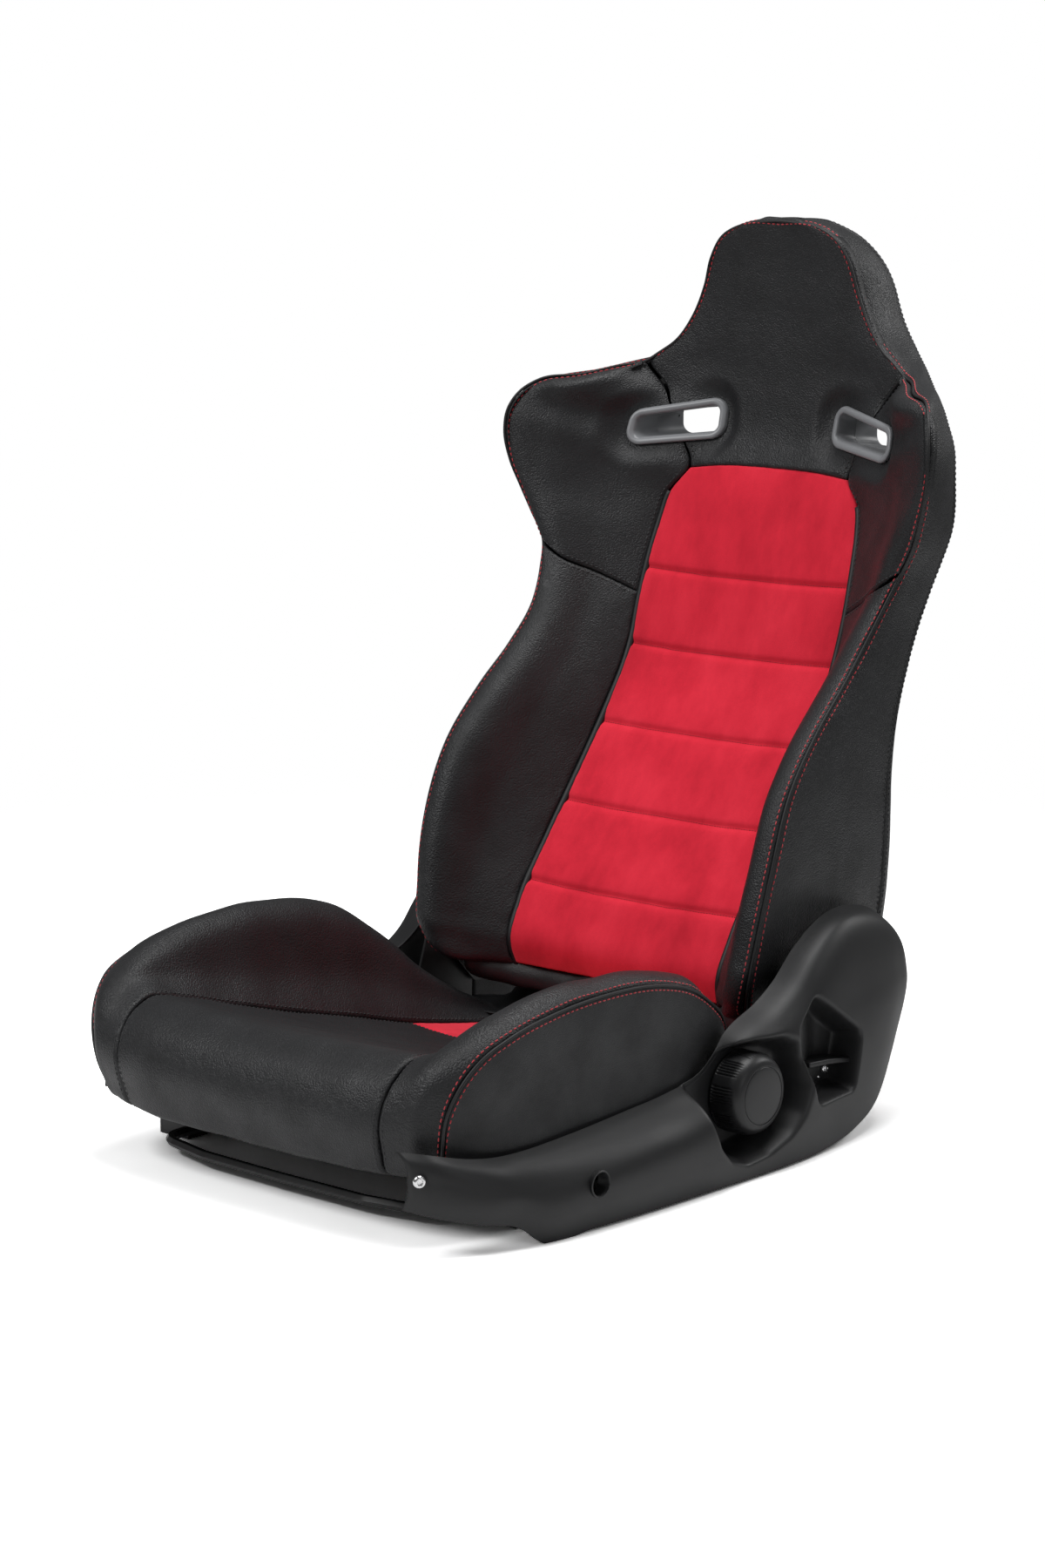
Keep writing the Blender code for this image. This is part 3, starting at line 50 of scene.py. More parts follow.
# ------------------------------------------------------------------- numeric helpers
def spline(points, at):
    """Curve through the points, read at fractional point numbers; tangents follow chords."""
    points = np.asarray(points, float)
    gaps = np.diff(points, axis=0)
    length = np.maximum(np.linalg.norm(gaps.reshape(len(gaps), -1), axis=1), 1e-6)
    shape = (-1,) + (1,) * (points.ndim - 1)
    slope = gaps / length.reshape(shape)
    tangent = np.empty_like(points)
    before, after = length[:-1].reshape(shape), length[1:].reshape(shape)
    tangent[1:-1] = (after * slope[:-1] + before * slope[1:]) / (before + after)
    tangent[0], tangent[-1] = slope[0], slope[-1]
    at = np.clip(np.asarray(at, float), 0, len(points) - 1)
    index = np.minimum(at.astype(int), len(points) - 2)
    t = (at - index).reshape(shape)
    span = length[index].reshape(shape)
    return ((2 * t**3 - 3 * t**2 + 1) * points[index]
            + (t**3 - 2 * t**2 + t) * span * tangent[index]
            + (3 * t**2 - 2 * t**3) * points[index + 1]
            + (t**3 - t**2) * span * tangent[index + 1])


def unit(v):
    return v / np.linalg.norm(v)


def arc(points):
    """Running length along a polyline."""
    step = np.linalg.norm(np.diff(points, axis=0), axis=-1)
    return np.concatenate([[0.0], np.cumsum(step)])


CLUSTER = (0.0, 0.0005, 0.0011, 0.0018, 0.0027, 0.0038, 0.0052, 0.0070, 0.0092)


def spaced(curve, step, low=True, high=True, extra=()):
    """Fractional point numbers along a curve, even in length and closer at rolled ends."""
    fine = np.linspace(0, len(curve) - 1, 40 * len(curve))
    run = arc(spline(curve, fine))
    total = run[-1]
    start = CLUSTER if low else (0.0,)
    end = CLUSTER if high else (0.0,)
    middle_low, middle_high = start[-1] + step, total - end[-1] - step
    count = max(2, int(round((middle_high - middle_low) / step)) + 1)
    marks = list(start) + list(np.linspace(middle_low, middle_high, count))
    marks += [total - e for e in reversed(end)]
    for centre in extra:
        marks += [centre + d for d in (-0.0030, -0.0020, -0.0012, -0.0005, 0.0, 0.0005,
                                       0.0012, 0.0020, 0.0030)]
    marks = np.array(sorted(m for m in marks if 0 <= m <= total))
    keep = np.concatenate([[True], np.diff(marks) > 0.00025])
    return np.interp(marks[keep], run, fine)


def smooth(grid, passes, along=0):
    """Relaxes a grid along one direction and keeps its border."""
    grid = np.moveaxis(grid, along, 0).copy()
    for _ in range(passes):
        grid[1:-1] = 0.25 * grid[:-2] + 0.5 * grid[1:-1] + 0.25 * grid[2:]
    return np.moveaxis(grid, 0, along)


def waves(points, size, seed, count=7):
    """Smooth pseudo noise in -1..1: a few plane waves of about one size, in metres."""
    rng = np.random.RandomState(seed)
    total = np.zeros(points.shape[:-1])
    for _ in range(count):
        direction = rng.normal(size=3)
        direction /= np.linalg.norm(direction)
        wave = 2 * math.pi / (size * rng.uniform(0.7, 1.6))
        total += np.sin(points @ direction * wave + rng.uniform(0, 6.28))
    return total / math.sqrt(count) / 1.2


def rounded_loop(points, radius, steps=6):
    """Closed outline with its corners rounded."""
    result, count = [], len(points)
    points = [np.array(p, float) for p in points]
    for i in range(count):
        before, here, after = points[i - 1], points[i], points[(i + 1) % count]
        u, v = before - here, after - here
        lu, lv = np.linalg.norm(u), np.linalg.norm(v)
        u, v = u / lu, v / lv
        half = math.acos(max(-1.0, min(1.0, float(u @ v)))) / 2
        reach = min(radius / math.tan(half), lu * 0.49, lv * 0.49)
        centre = here + (u + v) / np.linalg.norm(u + v) * reach / math.cos(half)
        first, last = here + u * reach - centre, here + v * reach - centre
        size = np.linalg.norm(first)
        for k in range(steps + 1):
            spoke = first + (last - first) * k / steps
            result.append(centre + spoke / np.linalg.norm(spoke) * size)
    return np.array(result)


def inside_depth(loop, y, z):
    """Distance inwards from a closed outline, negative outside."""
    a, b = loop, np.roll(loop, -1, axis=0)
    best = np.full(y.shape, 1e9)
    inside = np.zeros(y.shape, bool)
    for (ay, az), (by, bz) in zip(a, b):
        ey, ez = by - ay, bz - az
        t = np.clip(((y - ay) * ey + (z - az) * ez) / max(ey * ey + ez * ez, 1e-12), 0, 1)
        best = np.minimum(best, np.hypot(y - ay - t * ey, z - az - t * ez))
        crosses = (az > z) != (bz > z)
        if abs(ez) > 1e-12:
            inside ^= crosses & (y < ay + (z - az) / ez * ey)
    return np.where(inside, best, -best)


def roll(distance, radius, depth):
    """How far a sewn edge dips below the panel, as a quarter round."""
    t = np.clip(distance / radius, 0, 1)
    return -depth * (1 - np.sqrt(np.clip(1 - (1 - t) ** 2, 0, 1)))


# Per kind of panel, in metres: radius and depth of the rolled edge, rise of the foam and how far
# in it reaches; seed and height of the gathers; seed, wave length and height of the slack.
SEWING = {
    "back_centre": (0.0040, 0.0030, 0.0022, 0.020, 11, 0.00025, 12, 0.100, 0.0007),
    "headrest": (0.0050, 0.0034, 0.0020, 0.025, 21, 0.00030, 0, 0.100, 0.0),
    "back_side": (0.0050, 0.0027, 0.0022, 0.024, 31, 0.00034, 36, 0.070, 0.0006),
    "shoulder": (0.0050, 0.0027, 0.0022, 0.024, 41, 0.00034, 46, 0.070, 0.0006),
    "back_gusset": (0.0050, 0.0022, 0.0014, 0.020, 61, 0.00028, 62, 0.085, 0.0007),
    "back_rear": (0.0050, 0.0032, 0.0010, 0.020, 65, 0.00025, 64, 0.130, 0.0009),
    "cushion_centre": (0.0045, 0.0030, 0.0022, 0.020, 91, 0.00025, 0, 0.100, 0.0),
    "cushion_front": (0.0048, 0.0032, 0.0020, 0.022, 93, 0.00032, 94, 0.090, 0.0008),
    "cushion_side": (0.0050, 0.0034, 0.0024, 0.024, 101, 0.00034, 103, 0.075, 0.0010),
    "cushion_gusset": (0.0050, 0.0026, 0.0014, 0.020, 107, 0.00022, 109, 0.100, 0.0006),
}
SEAM_REACH = 0.010                  # how far the gathers run from a seam
GATHER_SIZES = (0.011, 0.045)       # wave lengths of the gathers and of the dents between


class Panel:
    """A sewn panel: a fine grid of points with outward normals and distances to its edges."""

    def __init__(self, control, step=0.0035, rolled="abcd", outward=(0, -1, 0), extra_rows=(),
                 relax=2, guide=None):
        control = np.asarray(control, float)
        middle_column = control[:, control.shape[1] // 2]
        middle_row = control[control.shape[0] // 2 if guide is None else guide]
        rows = spaced(middle_column, step, "a" in rolled, "b" in rolled, extra_rows)
        columns = spaced(middle_row, step, "c" in rolled, "d" in rolled)
        across = np.moveaxis(spline(np.moveaxis(control, 1, 0), columns), 0, 1)
        self.base = spline(across, rows)
        self.base = smooth(smooth(self.base, relax, 0), relax, 1)
        self.rolled = rolled
        self.measure(outward)
        self.points = self.base.copy()

    @classmethod
    def of_grid(cls, grid, outward):
        panel = object.__new__(cls)
        panel.base, panel.points, panel.rolled = grid, grid.copy(), ""
        panel.measure(outward)
        return panel

    def measure(self, outward):
        base = self.base
        down, along = np.gradient(base, axis=0), np.gradient(base, axis=1)
        normal = np.cross(along, down)
        normal /= np.maximum(np.linalg.norm(normal, axis=-1, keepdims=True), 1e-12)
        if (normal @ np.asarray(outward, float)).mean() < 0:
            normal = -normal
        self.normal = normal
        rows = np.concatenate([np.zeros((1,) + base.shape[1:2]),
                               np.cumsum(np.linalg.norm(np.diff(base, axis=0), axis=-1), 0)])
        columns = np.concatenate([np.zeros(base.shape[:1] + (1,)),
                                  np.cumsum(np.linalg.norm(np.diff(base, axis=1), axis=-1), 1)], 1)
        self.from_edge = {"a": rows, "b": rows[-1:] - rows, "c": columns,
                          "d": columns[:, -1:] - columns}

    def mirrored(self):
        twin = object.__new__(Panel)
        twin.__dict__.update(self.__dict__)
        flip = np.array([-1.0, 1.0, 1.0])
        twin.base, twin.normal = self.base[:, ::-1] * flip, self.normal[:, ::-1] * flip
        twin.points = self.points[:, ::-1] * flip
        swap = {"a": "a", "b": "b", "c": "d", "d": "c"}
        twin.from_edge = {swap[k]: v[:, ::-1] for k, v in self.from_edge.items()}
        twin.rolled = "".join(swap[k] for k in self.rolled)
        return twin

    def push(self, height):
        self.points = self.points + self.normal * np.asarray(height)[..., None]

    def sew(self, kind, shift=0, slack_first=False):
        """Rolled edges, foam, gathers and slack; shift varies the seeds of the two sides."""
        radius, depth, rise, reach, seed, gather, slack_seed, size, slack = SEWING[kind]
        d = np.min([self.from_edge[k] for k in self.rolled], axis=0)
        width = np.minimum(self.from_edge["c"][:, -1:], self.from_edge["a"][-1:])
        room = np.clip(width / (4 * radius), 0.0, 1.0) ** 1.5
        self.points = self.base.copy()
        self.push(room * (roll(d, radius, depth) + rise * (1 - np.exp(-d / reach)) - rise))
        if slack_first:
            self.push(slack * waves(self.base, size, slack_seed + shift))
        fine, broad = (waves(self.base, length, seed + shift + k)
                       for k, length in enumerate(GATHER_SIZES))
        self.push(gather * fine * np.exp(-d / SEAM_REACH) + 0.5 * gather * broad)
        if slack and not slack_first:
            self.push(slack * waves(self.base, size, slack_seed + shift))

    def line(self, edge, inset):
        """Points and normals on the panel at a fixed distance from one of its edges."""
        distance = self.from_edge[edge]
        axis = 1 if edge in "cd" else 0
        d, p, n = (np.moveaxis(a, axis, 0) for a in (distance, self.points, self.normal))
        out_p, out_n = [], []
        for k in range(d.shape[1]):
            column = d[:, k]
            order = np.argsort(column)
            if column[order[-1]] < inset * 1.5:
                continue
            place = [np.interp(inset, column[order], p[order, k, i]) for i in range(3)]
            facing = [np.interp(inset, column[order], n[order, k, i]) for i in range(3)]
            out_p.append(place)
            out_n.append(facing)
        out_p, out_n = np.array(out_p), np.array(out_n)
        out_n /= np.linalg.norm(out_n, axis=-1, keepdims=True)
        return out_p, out_n

    def solid(self, name, back, look, body, nodes=(), fill=None, hole=None):
        """Closed piece between the panel and a back face: a shifted copy, or a thin skin."""
        rows, columns = self.points.shape[:2]
        if np.ndim(back):
            rear = self.base + np.asarray(back, float)
        else:
            rear = self.points - self.normal * back
        points = np.concatenate([self.points.reshape(-1, 3), rear.reshape(-1, 3)])
        number = np.arange(rows * columns).reshape(rows, columns)
        quads = np.stack([number[:-1, :-1], number[:-1, 1:], number[1:, 1:], number[1:, :-1]], -1)
        faces = quads.reshape(-1, 4)
        if hole is not None:
            faces = faces[~hole(points[faces].mean(axis=1))]
        total = rows * columns
        edges = np.concatenate([faces[:, [k, (k + 1) % 4]] for k in range(4)])
        ahead, behind = edges @ (total, 1), edges @ (1, total)
        loose = edges[~np.isin(ahead, behind)]
        walls = np.stack([loose[:, 1], loose[:, 0], loose[:, 0] + total, loose[:, 1] + total], -1)
        obj = make_object(name, points, np.concatenate([faces, faces[:, ::-1] + total, walls]),
                          look, body)
        if nodes:
            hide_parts(*nodes)
        return obj


def ring_faces(rings, sides, closed=False, start=0):
    """Quads between rings of points that follow each other, and end caps unless closed."""
    faces = []
    for i in range(rings if closed else rings - 1):
        low, high = start + i * sides, start + (i + 1) % rings * sides
        for k in range(sides):
            nxt = (k + 1) % sides
            faces.append((low + k, low + nxt, high + nxt, high + k))
    if not closed:
        faces.append(tuple(start + k for k in reversed(range(sides))))
        faces.append(tuple(start + (rings - 1) * sides + k for k in range(sides)))
    return faces


def mesh_of(name, points, faces):
    mesh = bpy.data.meshes.new(name)
    mesh.from_pydata([tuple(p) for p in points], [], [tuple(f) for f in faces])
    return mesh


def mesh_from(name, bm):
    mesh = bpy.data.meshes.new(name)
    bm.to_mesh(mesh)
    bm.free()
    return mesh


def halves(*panels):
    """Label, sign, inner edge, outer edge and the panels, for the left half and then the right."""
    yield "left", 1, "c", "d", *panels
    yield "right", -1, "d", "c", *[panel.mirrored() for panel in panels]


def make_object(name, points, faces, look, body):
    """A piece from raw points, with doubled points merged and the normals turned outwards."""
    mesh = mesh_of(name, points, faces)
    bm = bmesh.new()
    bm.from_mesh(mesh)
    bmesh.ops.remove_doubles(bm, verts=bm.verts, dist=0.00002)
    bmesh.ops.dissolve_degenerate(bm, edges=bm.edges, dist=0.00001)
    bmesh.ops.delete(bm, geom=[v for v in bm.verts if not v.link_faces], context="VERTS")
    bmesh.ops.recalc_face_normals(bm, faces=bm.faces)
    bm.to_mesh(mesh)
    bm.free()
    return finish_object(name, mesh, look, body)


def finish_object(name, mesh, look, body):
    for polygon in mesh.polygons:
        polygon.use_smooth = True
    mesh.materials.append(look)
    obj = bpy.data.objects.new(name, mesh)
    bpy.context.scene.collection.objects.link(obj)
    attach(obj, body)
    return obj


# ------------------------------------------------------------------------- materials
def node(tree, kind, **inputs):
    item = tree.nodes.new(kind)
    for key, value in inputs.items():
        item.inputs[key.replace("_", " ")].default_value = value
    return item


def blank(name, colour, roughness, metallic=0.0, **inputs):
    mat = bpy.data.materials.new(name)
    mat.use_nodes = True
    shader = mat.node_tree.nodes["Principled BSDF"]
    shader.inputs["Base Color"].default_value = (*colour, 1.0)
    shader.inputs["Roughness"].default_value = roughness
    shader.inputs["Metallic"].default_value = metallic
    for key, value in inputs.items():
        shader.inputs[key.replace("_", " ")].default_value = value
    return mat, mat.node_tree, shader


def ramp(tree, fac, stops):
    item = tree.nodes.new("ShaderNodeValToRGB")
    elements = item.color_ramp.elements
    while len(elements) < len(stops):
        elements.new(0.5)
    for element, (place, colour) in zip(elements, stops):
        element.position = place
        element.color = (*colour, 1.0)
    tree.links.new(fac, item.inputs["Fac"])
    return item.outputs["Color"]


def polished(tree, shader, fac, low, high):
    """Roughness from low to high along a noise."""
    level = ramp(tree, fac, [(0.3, (low,) * 3), (0.7, (high,) * 3)])
    tree.links.new(level, shader.inputs["Roughness"])


def place_output(tree):
    return tree.nodes.new("ShaderNodeTexCoord").outputs["Object"]


def noise(tree, place, scale, detail=3.0, roughness=0.55):
    item = node(tree, "ShaderNodeTexNoise", Scale=scale, Detail=detail, Roughness=roughness)
    tree.links.new(place, item.inputs["Vector"])
    return item.outputs["Fac"]


def bump(tree, shader, layers):
    """Stacks height fields: (socket, strength, distance)."""
    previous = None
    for height, strength, distance in layers:
        item = node(tree, "ShaderNodeBump", Strength=strength, Distance=distance)
        tree.links.new(height, item.inputs["Height"])
        if previous is not None:
            tree.links.new(previous, item.inputs["Normal"])
        previous = item.outputs["Normal"]
    tree.links.new(previous, shader.inputs["Normal"])


def leather(name, colour=(0.0145, 0.0148, 0.0160), roughness=0.46, grain=1.0, coarse=620.0):
    """Black hide: pebbled cells with creases between, fine pores and a worn, uneven polish."""
    mat, tree, shader = blank(name, colour, roughness, Specular_IOR_Level=0.36)
    place = place_output(tree)
    warp = noise(tree, place, 90.0, 2.0)
    mix = tree.nodes.new("ShaderNodeVectorMath")
    mix.operation = "MULTIPLY_ADD"
    tree.links.new(warp, mix.inputs[0])
    mix.inputs[1].default_value = (0.004, 0.004, 0.004)
    tree.links.new(place, mix.inputs[2])
    cells = node(tree, "ShaderNodeTexVoronoi", Scale=coarse, Randomness=1.0)
    cells.feature = "SMOOTH_F1"
    cells.inputs["Smoothness"].default_value = 0.35
    tree.links.new(mix.outputs[0], cells.inputs["Vector"])
    fine = noise(tree, place, 2600.0, 2.0)
    broad = noise(tree, place, 26.0, 3.0)
    shade = ramp(tree, broad, [(0.30, tuple(c * 0.80 for c in colour)),
                               (0.62, tuple(c * 1.22 for c in colour))])
    tree.links.new(shade, shader.inputs["Base Color"])
    polished(tree, shader, broad, roughness + 0.05, roughness - 0.06)
    invert = tree.nodes.new("ShaderNodeMath")
    invert.operation = "SUBTRACT"
    invert.inputs[0].default_value = 1.0
    tree.links.new(cells.outputs["Distance"], invert.inputs[1])
    bump(tree, shader, [(invert.outputs[0], 0.60 * grain, 0.0009), (fine, 0.20 * grain, 0.0002)])
    return mat


def suede(name):
    """Red brushed microfibre: short nap that shades in cloudy strokes, with a light edge sheen."""
    red = (0.700, 0.0190, 0.0420)
    mat, tree, shader = blank(name, red, 0.93, Specular_IOR_Level=0.18, Sheen_Weight=0.30,
                              Sheen_Roughness=0.45)
    shader.inputs["Sheen Tint"].default_value = (1.0, 0.40, 0.45, 1.0)
    place = place_output(tree)
    stroke = tree.nodes.new("ShaderNodeMapping")
    stroke.inputs["Scale"].default_value = (1.0, 1.0, 0.42)
    tree.links.new(place, stroke.inputs["Vector"])
    cloud = noise(tree, stroke.outputs["Vector"], 17.0, 4.0, 0.62)
    fibre = noise(tree, place, 1500.0, 3.0, 0.7)
    tone = ramp(tree, cloud, [(0.30, (0.560, 0.0120, 0.0300)), (0.50, red),
                              (0.74, (0.820, 0.0300, 0.0580))])
    speck = ramp(tree, fibre, [(0.25, (0.82, 0.82, 0.82)), (0.75, (1.12, 1.12, 1.12))])
    blend = tree.nodes.new("ShaderNodeMix")
    blend.data_type = "RGBA"
    blend.blend_type = "MULTIPLY"
    blend.inputs["Factor"].default_value = 1.0
    tree.links.new(tone, blend.inputs["A"])
    tree.links.new(speck, blend.inputs["B"])
    tree.links.new(blend.outputs["Result"], shader.inputs["Base Color"])
    bump(tree, shader, [(noise(tree, place, 240.0, 3.0), 0.25, 0.0005), (fibre, 0.45, 0.0003)])
    return mat


def moulded(name, colour=(0.0105, 0.0107, 0.0115), roughness=0.46, texture=0.35):
    """Injection moulded black plastic with a fine spark-eroded texture."""
    mat, tree, shader = blank(name, colour, roughness, Specular_IOR_Level=0.40)
    place = place_output(tree)
    speck = noise(tree, place, 1700.0, 2.0, 0.6)
    polished(tree, shader, noise(tree, place, 9.0), roughness + 0.04, roughness - 0.05)
    bump(tree, shader, [(speck, texture, 0.00025)])
    return mat


def metal(name, colour, roughness):
    """Bright metal with fine scratches."""
    mat, tree, shader = blank(name, colour, roughness, 1.0)
    scratch = noise(tree, place_output(tree), 900.0)
    polished(tree, shader, scratch, roughness * 0.85, roughness * 1.2)
    bump(tree, shader, [(scratch, 0.08, 0.0001)])
    return mat


def coated_and_shaded(name):
    """Satin black powder coat over pressed steel, with faint orange peel; the colour is set darker
    than the coat alone, painted shade that sinks the release bar and tube under the cushion into
    their shadow.
    """
    mat, tree, shader = blank(name, (0.0075, 0.0075, 0.0080), 0.42, 0.0, Coat_Weight=0.15,
                              Coat_Roughness=0.30)
    bump(tree, shader, [(noise(tree, place_output(tree), 420.0, 2.0), 0.18, 0.0003)])
    return mat


HIDE = leather("black_leather")
HIDE_SMOOTH = leather("black_leather_fine", roughness=0.50, grain=0.55, coarse=900.0)
SUEDE = suede("red_suede")
PLASTIC = moulded("black_plastic")
DIAL = moulded("dial_plastic", (0.0120, 0.0122, 0.0130), 0.40, 0.10)
TRIM = moulded("grey_trim", (0.205, 0.210, 0.220), 0.33, 0.10)
# black coated steel: the coat's own black, darkened further as painted shade for the steel parts in
# the seat's shadow
STEEL_SHADED = coated_and_shaded("black_steel")
BRIGHT = metal("bright_metal", (0.72, 0.72, 0.73), 0.20)
THREAD_RED = blank("red_thread", (0.50, 0.020, 0.032), 0.70, Sheen_Weight=0.3)[0]
THREAD_BLACK = blank("black_thread", (0.024, 0.024, 0.026), 0.50)[0]
THREAD_SEAM = blank("suede_thread", (0.36, 0.012, 0.024), 0.80)[0]
WELT = blank("seam_welt", (0.006, 0.006, 0.007), 0.55)[0]
SLOT_LOOKS = {"black_leather": HIDE, "red_suede": SUEDE, "black_plastic": PLASTIC,
              "grey_trim": TRIM, "black_steel": STEEL_SHADED, "bright_metal": BRIGHT}
SLOT_OF = {look.name: slot for slot, look in SLOT_LOOKS.items()}
SLOT_OF |= {HIDE_SMOOTH.name: "black_leather", DIAL.name: "black_plastic",
            THREAD_RED.name: "red_suede", THREAD_BLACK.name: "black_leather",
            THREAD_SEAM.name: "red_suede", WELT.name: "black_leather"}


# --------------------------------------------------------------------- sewing helpers
# Length, pitch and radius of the stitches.
RED_STITCH = (0.0041, 0.0062, 0.00066)
BLACK_STITCH = (0.0036, 0.0056, 0.00064)
BACK_STITCH = (0.0036, 0.0056, 0.00060)
FINE_STITCH = (0.0026, 0.0036, 0.00042)


def bead_mesh(points, normals, length, pitch, radius, sides=6, sink=0.25):
    """Stitches along a line: short flattened capsules that dip into the cover at each end."""
    run = arc(points)
    count = int(run[-1] / pitch)
    if count < 1:
        return np.zeros((0, 3)), []
    verts, faces = [], []
    angle = np.arange(sides) * 2 * math.pi / sides
    profile = ((-0.50, 0.35, -0.55), (-0.36, 0.90, 0.0), (0.0, 1.0, 0.12), (0.36, 0.90, 0.0),
               (0.50, 0.35, -0.55))
    for k in range(count):
        middle = (k + 0.5) * pitch
        p, a, b, n = (np.array([np.interp(s, run, src[:, i]) for i in range(3)])
                      for s, src in ((middle, points), (middle - length / 2, points),
                                     (middle + length / 2, points), (middle, normals)))
        tangent = b - a
        size = np.linalg.norm(tangent)
        if size < 1e-6:
            continue
        tangent /= size
        side = np.cross(n, tangent)
        side /= np.linalg.norm(side)
        up = np.cross(tangent, side)
        start = len(verts)
        for place, swell, lift in profile:
            centre = p + tangent * place * length + up * radius * (sink + lift)
            for t in angle:
                spoke = side * math.cos(t) + up * 0.8 * math.sin(t)
                verts.append(centre + spoke * radius * swell)
        faces += ring_faces(len(profile), sides, start=start)
    return np.array(verts), faces


def stitch(name, lines, look, body, size):
    """One object for all the stitches of the given (points, normals) lines."""
    all_points, all_faces, base = [], [], 0
    for points, normals in lines:
        if len(points) < 3:
            continue
        points = smooth(points, 3)
        verts, faces = bead_mesh(points, normals, *size)
        if len(verts) == 0:
            continue
        all_points.append(verts)
        all_faces += [tuple(i + base for i in f) for f in faces]
        base += len(verts)
    mesh = mesh_of(name, np.concatenate(all_points), all_faces)
    return finish_object(name, mesh, look, body)


def welt(name, points, radius, body, sides=8, step=0.004):
    """Round cord sunk in a seam."""
    run = arc(points)
    marks = np.linspace(0, run[-1], max(8, int(run[-1] / step)))
    path = np.array([[np.interp(m, run, points[:, i]) for i in range(3)] for m in marks])
    tangent = np.gradient(path, axis=0)
    tangent /= np.linalg.norm(tangent, axis=1, keepdims=True)
    up = np.array([0.0, 0.0, 1.0])
    verts = []
    side = np.cross(tangent[0], up if abs(tangent[0][2]) < 0.9 else np.array([1.0, 0, 0]))
    for p, t in zip(path, tangent):
        side = side - t * (side @ t)
        side /= np.linalg.norm(side)
        other = np.cross(t, side)
        for k in range(sides):
            angle = 2 * math.pi * k / sides
            verts.append(p + (side * math.cos(angle) + other * math.sin(angle)) * radius)
    mesh = mesh_of(name, verts, ring_faces(len(path), sides))
    return finish_object(name, mesh, WELT, body)


# ---------------------------------------------------------------------- backrest data
# Rows of (edge seam, inner seam, rear corner, rear middle y), bottom to top.
BACK = [
    ((0.212, 0.046, 0.128), (0.140, 0.090, 0.118), (0.209, 0.243, 0.118), 0.257),
    ((0.227, 0.031, 0.160), (0.143, 0.083, 0.142), (0.216, 0.261, 0.152), 0.275),
    ((0.233, 0.036, 0.205), (0.145, 0.100, 0.185), (0.220, 0.270, 0.200), 0.288),
    ((0.238, 0.051, 0.270), (0.145, 0.145, 0.250), (0.223, 0.273, 0.270), 0.297),
    ((0.236, 0.084, 0.350), (0.142, 0.200, 0.328), (0.224, 0.274, 0.345), 0.308),
    ((0.232, 0.131, 0.405), (0.140, 0.238, 0.385), (0.224, 0.283, 0.405), 0.321),
    ((0.229, 0.177, 0.447), (0.139, 0.262, 0.425), (0.222, 0.299, 0.450), 0.336),
    ((0.229, 0.212, 0.485), (0.139, 0.275, 0.455), (0.224, 0.313, 0.492), 0.351),
    ((0.236, 0.234, 0.522), (0.140, 0.283, 0.480), (0.231, 0.324, 0.530), 0.364),
    ((0.245, 0.247, 0.553), (0.140, 0.289, 0.499), (0.240, 0.329, 0.560), 0.375),
    ((0.260, 0.246, 0.580), (0.139, 0.297, 0.525), (0.251, 0.330, 0.590), 0.384),
    ((0.272, 0.241, 0.608), (0.137, 0.306, 0.552), (0.257, 0.326, 0.620), 0.393),
    ((0.283, 0.235, 0.638), (0.134, 0.315, 0.578), (0.258, 0.323, 0.650), 0.402),
    ((0.288, 0.232, 0.668), (0.128, 0.323, 0.606), (0.252, 0.329, 0.678), 0.409),
    ((0.286, 0.235, 0.692), (0.106, 0.333, 0.634), (0.236, 0.338, 0.700), 0.414),
    ((0.278, 0.245, 0.711), (0.115, 0.341, 0.662), (0.218, 0.353, 0.714), 0.419),
    ((0.262, 0.262, 0.726), (0.130, 0.344, 0.690), (0.198, 0.370, 0.726), 0.424),
    ((0.226, 0.289, 0.732), (0.146, 0.344, 0.715), (0.176, 0.390, 0.738), 0.429),
    ((0.198, 0.322, 0.741), (0.162, 0.342, 0.732), (0.160, 0.404, 0.750), 0.433),
    ((0.177, 0.3370, 0.7452), (0.1720, 0.3395, 0.7415), (0.144, 0.414, 0.761), 0.435),
]
CROWN = [
    ((0.160, 0.344, 0.756), (0.133, 0.421, 0.773), 0.437),
    ((0.142, 0.348, 0.768), (0.122, 0.425, 0.785), 0.438),
    ((0.121, 0.351, 0.794), (0.108, 0.429, 0.810), 0.440),
    ((0.105, 0.352, 0.828), (0.098, 0.427, 0.840), 0.439),
    ((0.095, 0.350, 0.858), (0.086, 0.416, 0.866), 0.430),
    ((0.079, 0.348, 0.881), (0.068, 0.402, 0.886), 0.416),
    ((0.046, 0.348, 0.896), (0.040, 0.392, 0.898), 0.400),
]
TRIM_CORNERS = [(0.1763, 0.6917), (0.0738, 0.7103), (0.0725, 0.6656), (0.1803, 0.6533)]
SLOT_X, SLOT_Z = 0.1235, 0.680      # middle of a harness slot
SLOT_TURN = math.tan(math.radians(19.5))     # how the front trims turn outwards
TRIM_LEAN = 0.25                    # how far a front trim leans back per metre of height
TRIM_BAND = 0.0080                  # width of the slot trim's face; the corners are its outer ones
HEAD_Z = (0.634, 0.662, 0.690, 0.735, 0.800, 0.860, 0.896)     # middle of the headrest's face
HEAD_Y = (0.3360, 0.3470, 0.3520, 0.3555, 0.3565, 0.3535, 0.3485)
SEAM_INSET = 0.0018                 # how far each panel stops short of the edge seam
REAR_SEAM, REAR_GAP = 0.93, 0.0012  # where the gusset meets the rear panel, and half its seam
WELT_RADIUS, WELT_DEPTH = 0.0016, 0.0022     # the cords in the edge seams
SHOULDER, CORNER = 9, 14            # rows of the shoulder seam and of the insert's top corner
SEAM_HEIGHTS = (0.209, 0.288, 0.367, 0.447, 0.527)


def moved(rows):
    """Rows of the tables in the world's Y."""
    return np.asarray(rows, float) + np.array([0.0, SHIFT, 0.0])


